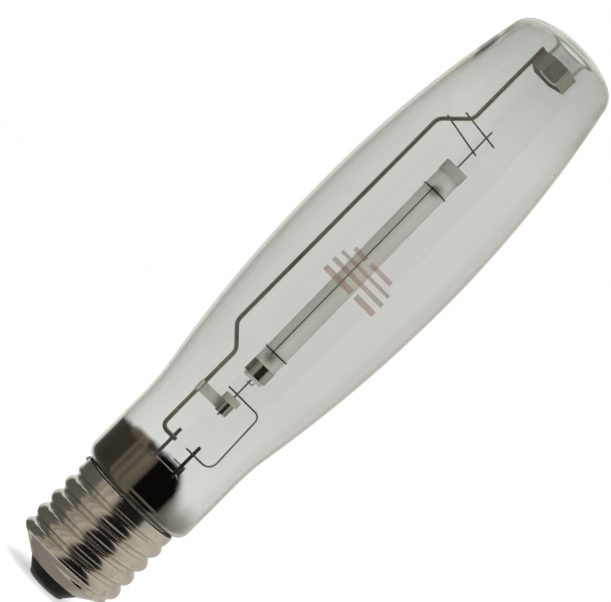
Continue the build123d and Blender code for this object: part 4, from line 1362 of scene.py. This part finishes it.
@dataclass
class Studio:
    """Camera, light, floor and reflection cards."""

    camera_place: Place = (-4.92, -830.0, 125.67)
    roll: float = 45.19
    lens: float = 149.9
    sensor: float = 36.0
    sight_m: float = 50.0
    sky_light: float = 0.75
    floor_reach: float = 3000.0
    floor_z: float = -0.1
    floor_glow: float = 0.45
    floor_paint: Colour = (0.7, 0.7, 0.7)
    lamp_aim: Place = (0.0, 0.0, 120.0)
    lamps: tuple[Lamp, ...] = (
        Lamp("lamp_top", (-200.0, -500.0, 1500.0), 900.0, 10.0),
        Lamp("lamp_right", (700.0, -1100.0, 500.0), 600.0, 8.0),
    )
    cards: tuple[Card, ...] = (
        Card("card_under", (8.0, 0.3), (19.0, 0.3), UNDER_STOPS),
        Card("card_ring", (19.0, 0.3), (24.0, 0.3), plain_stops(RING)),
        Card("card_near_floor", (24.0, 0.3), (65.0, 0.3), WALL_STOPS),
        Card("card_mid_floor", (65.0, 0.2), (130.0, 0.2), FLOOR_STOPS),
        Card("card_far_floor", (130.0, 0.2), (1400.0, 0.2), WALL_STOPS),
        Card("card_wall_low", (1400.0, 0.2), (1400.0, 600.0), WALL_STOPS),
        Card("card_wall_high", (1400.0, 600.0), (1400.0, 1100.0), turned_stops(-128.0, -80.0)),
        Card("card_slope_low", (1400.0, 1100.0), (950.0, 1500.0), turned_stops(-112.0, -92.0)),
        Card("card_slope_high", (950.0, 1500.0), (500.0, 1900.0), turned_stops(-101.0, -91.5)),
        Card("card_overhead", (500.0, 1900.0), (120.0, 1900.0), plain_stops(OVERHEAD)),
        Card("card_zenith", (120.0, 1900.0), (0.1, 1900.0), WALL_STOPS),
    )

    def build_camera(self) -> None:
        """Look along +Y with the lamp's axis rolled up to the right, as in the photograph."""
        data = bpy.data.cameras.new("camera")
        data.lens = self.lens
        data.sensor_width = self.sensor
        data.clip_end = self.sight_m
        camera = bpy.data.objects.new("camera", data)
        bpy.context.scene.collection.objects.link(camera)
        turn = math.radians(self.roll)
        right = Vector((math.sin(turn), 0.0, math.cos(turn)))
        up = Vector((-math.cos(turn), 0.0, math.sin(turn)))
        axes = Matrix((right, up, right.cross(up))).transposed()
        camera.matrix_world = Matrix.Translation(Vector(self.camera_place) * MM) @ axes.to_4x4()
        bpy.context.scene.camera = camera

    def build_world(self) -> None:
        """White for what the camera sees, straight or in metal and glass, and even light otherwise."""
        world = bpy.data.worlds.new("studio")
        bpy.context.scene.world = world
        world.use_nodes = True
        nodes = Nodes(world.node_tree)
        sky = world.node_tree.nodes["Background"]
        nodes.feed(sky, "Color", (1.0, 1.0, 1.0))
        nodes.feed(sky, "Strength", nodes.between(nodes.seen(), 0.0, 1.0, (self.sky_light, 1.0)))

    def build_floor(self) -> None:
        """Wide white floor under the contact that keeps the lamp's shadow."""
        reach, z = self.floor_reach, self.floor_z
        corners = np.array([(-reach, -reach, z), (reach, -reach, z), (reach, reach, z), (-reach, reach, z)])
        floor = mesh_object("floor", corners, np.array([[0, 1, 2, 3]]))
        material, nodes, output = new_set_material("floor_white")
        strength = nodes.maths("MULTIPLY", nodes.seen(), self.floor_glow)
        glow = nodes.add("ShaderNodeEmission", Strength=strength)
        paint = nodes.add("ShaderNodeBsdfDiffuse", Color=self.floor_paint)
        both = nodes.add("ShaderNodeAddShader")
        nodes.feed_all(both, {0: glow.outputs[0], 1: paint.outputs[0]})
        nodes.feed(output, "Surface", both.outputs[0])
        floor.data.materials.append(material)

    def build(self) -> None:
        """Build the whole set."""
        bpy.context.scene.view_settings.view_transform = "Standard"
        self.build_camera()
        self.build_world()
        self.build_floor()
        for card in self.cards:
            card.build()
        for lamp in self.lamps:
            lamp.build(Vector(self.lamp_aim) * MM)


def main() -> None:
    """Build the lamp's looks and the set around it."""
    logging.basicConfig(level=logging.INFO, format="%(message)s")
    dresser = Dresser()
    for part in (BASE_PARTS, MOUNT_PARTS, ARC_TUBE_PARTS, ScrewShell(), Bulb()):
        part.build(dresser)
    Studio().build()


if __name__ == "__main__":
    main()
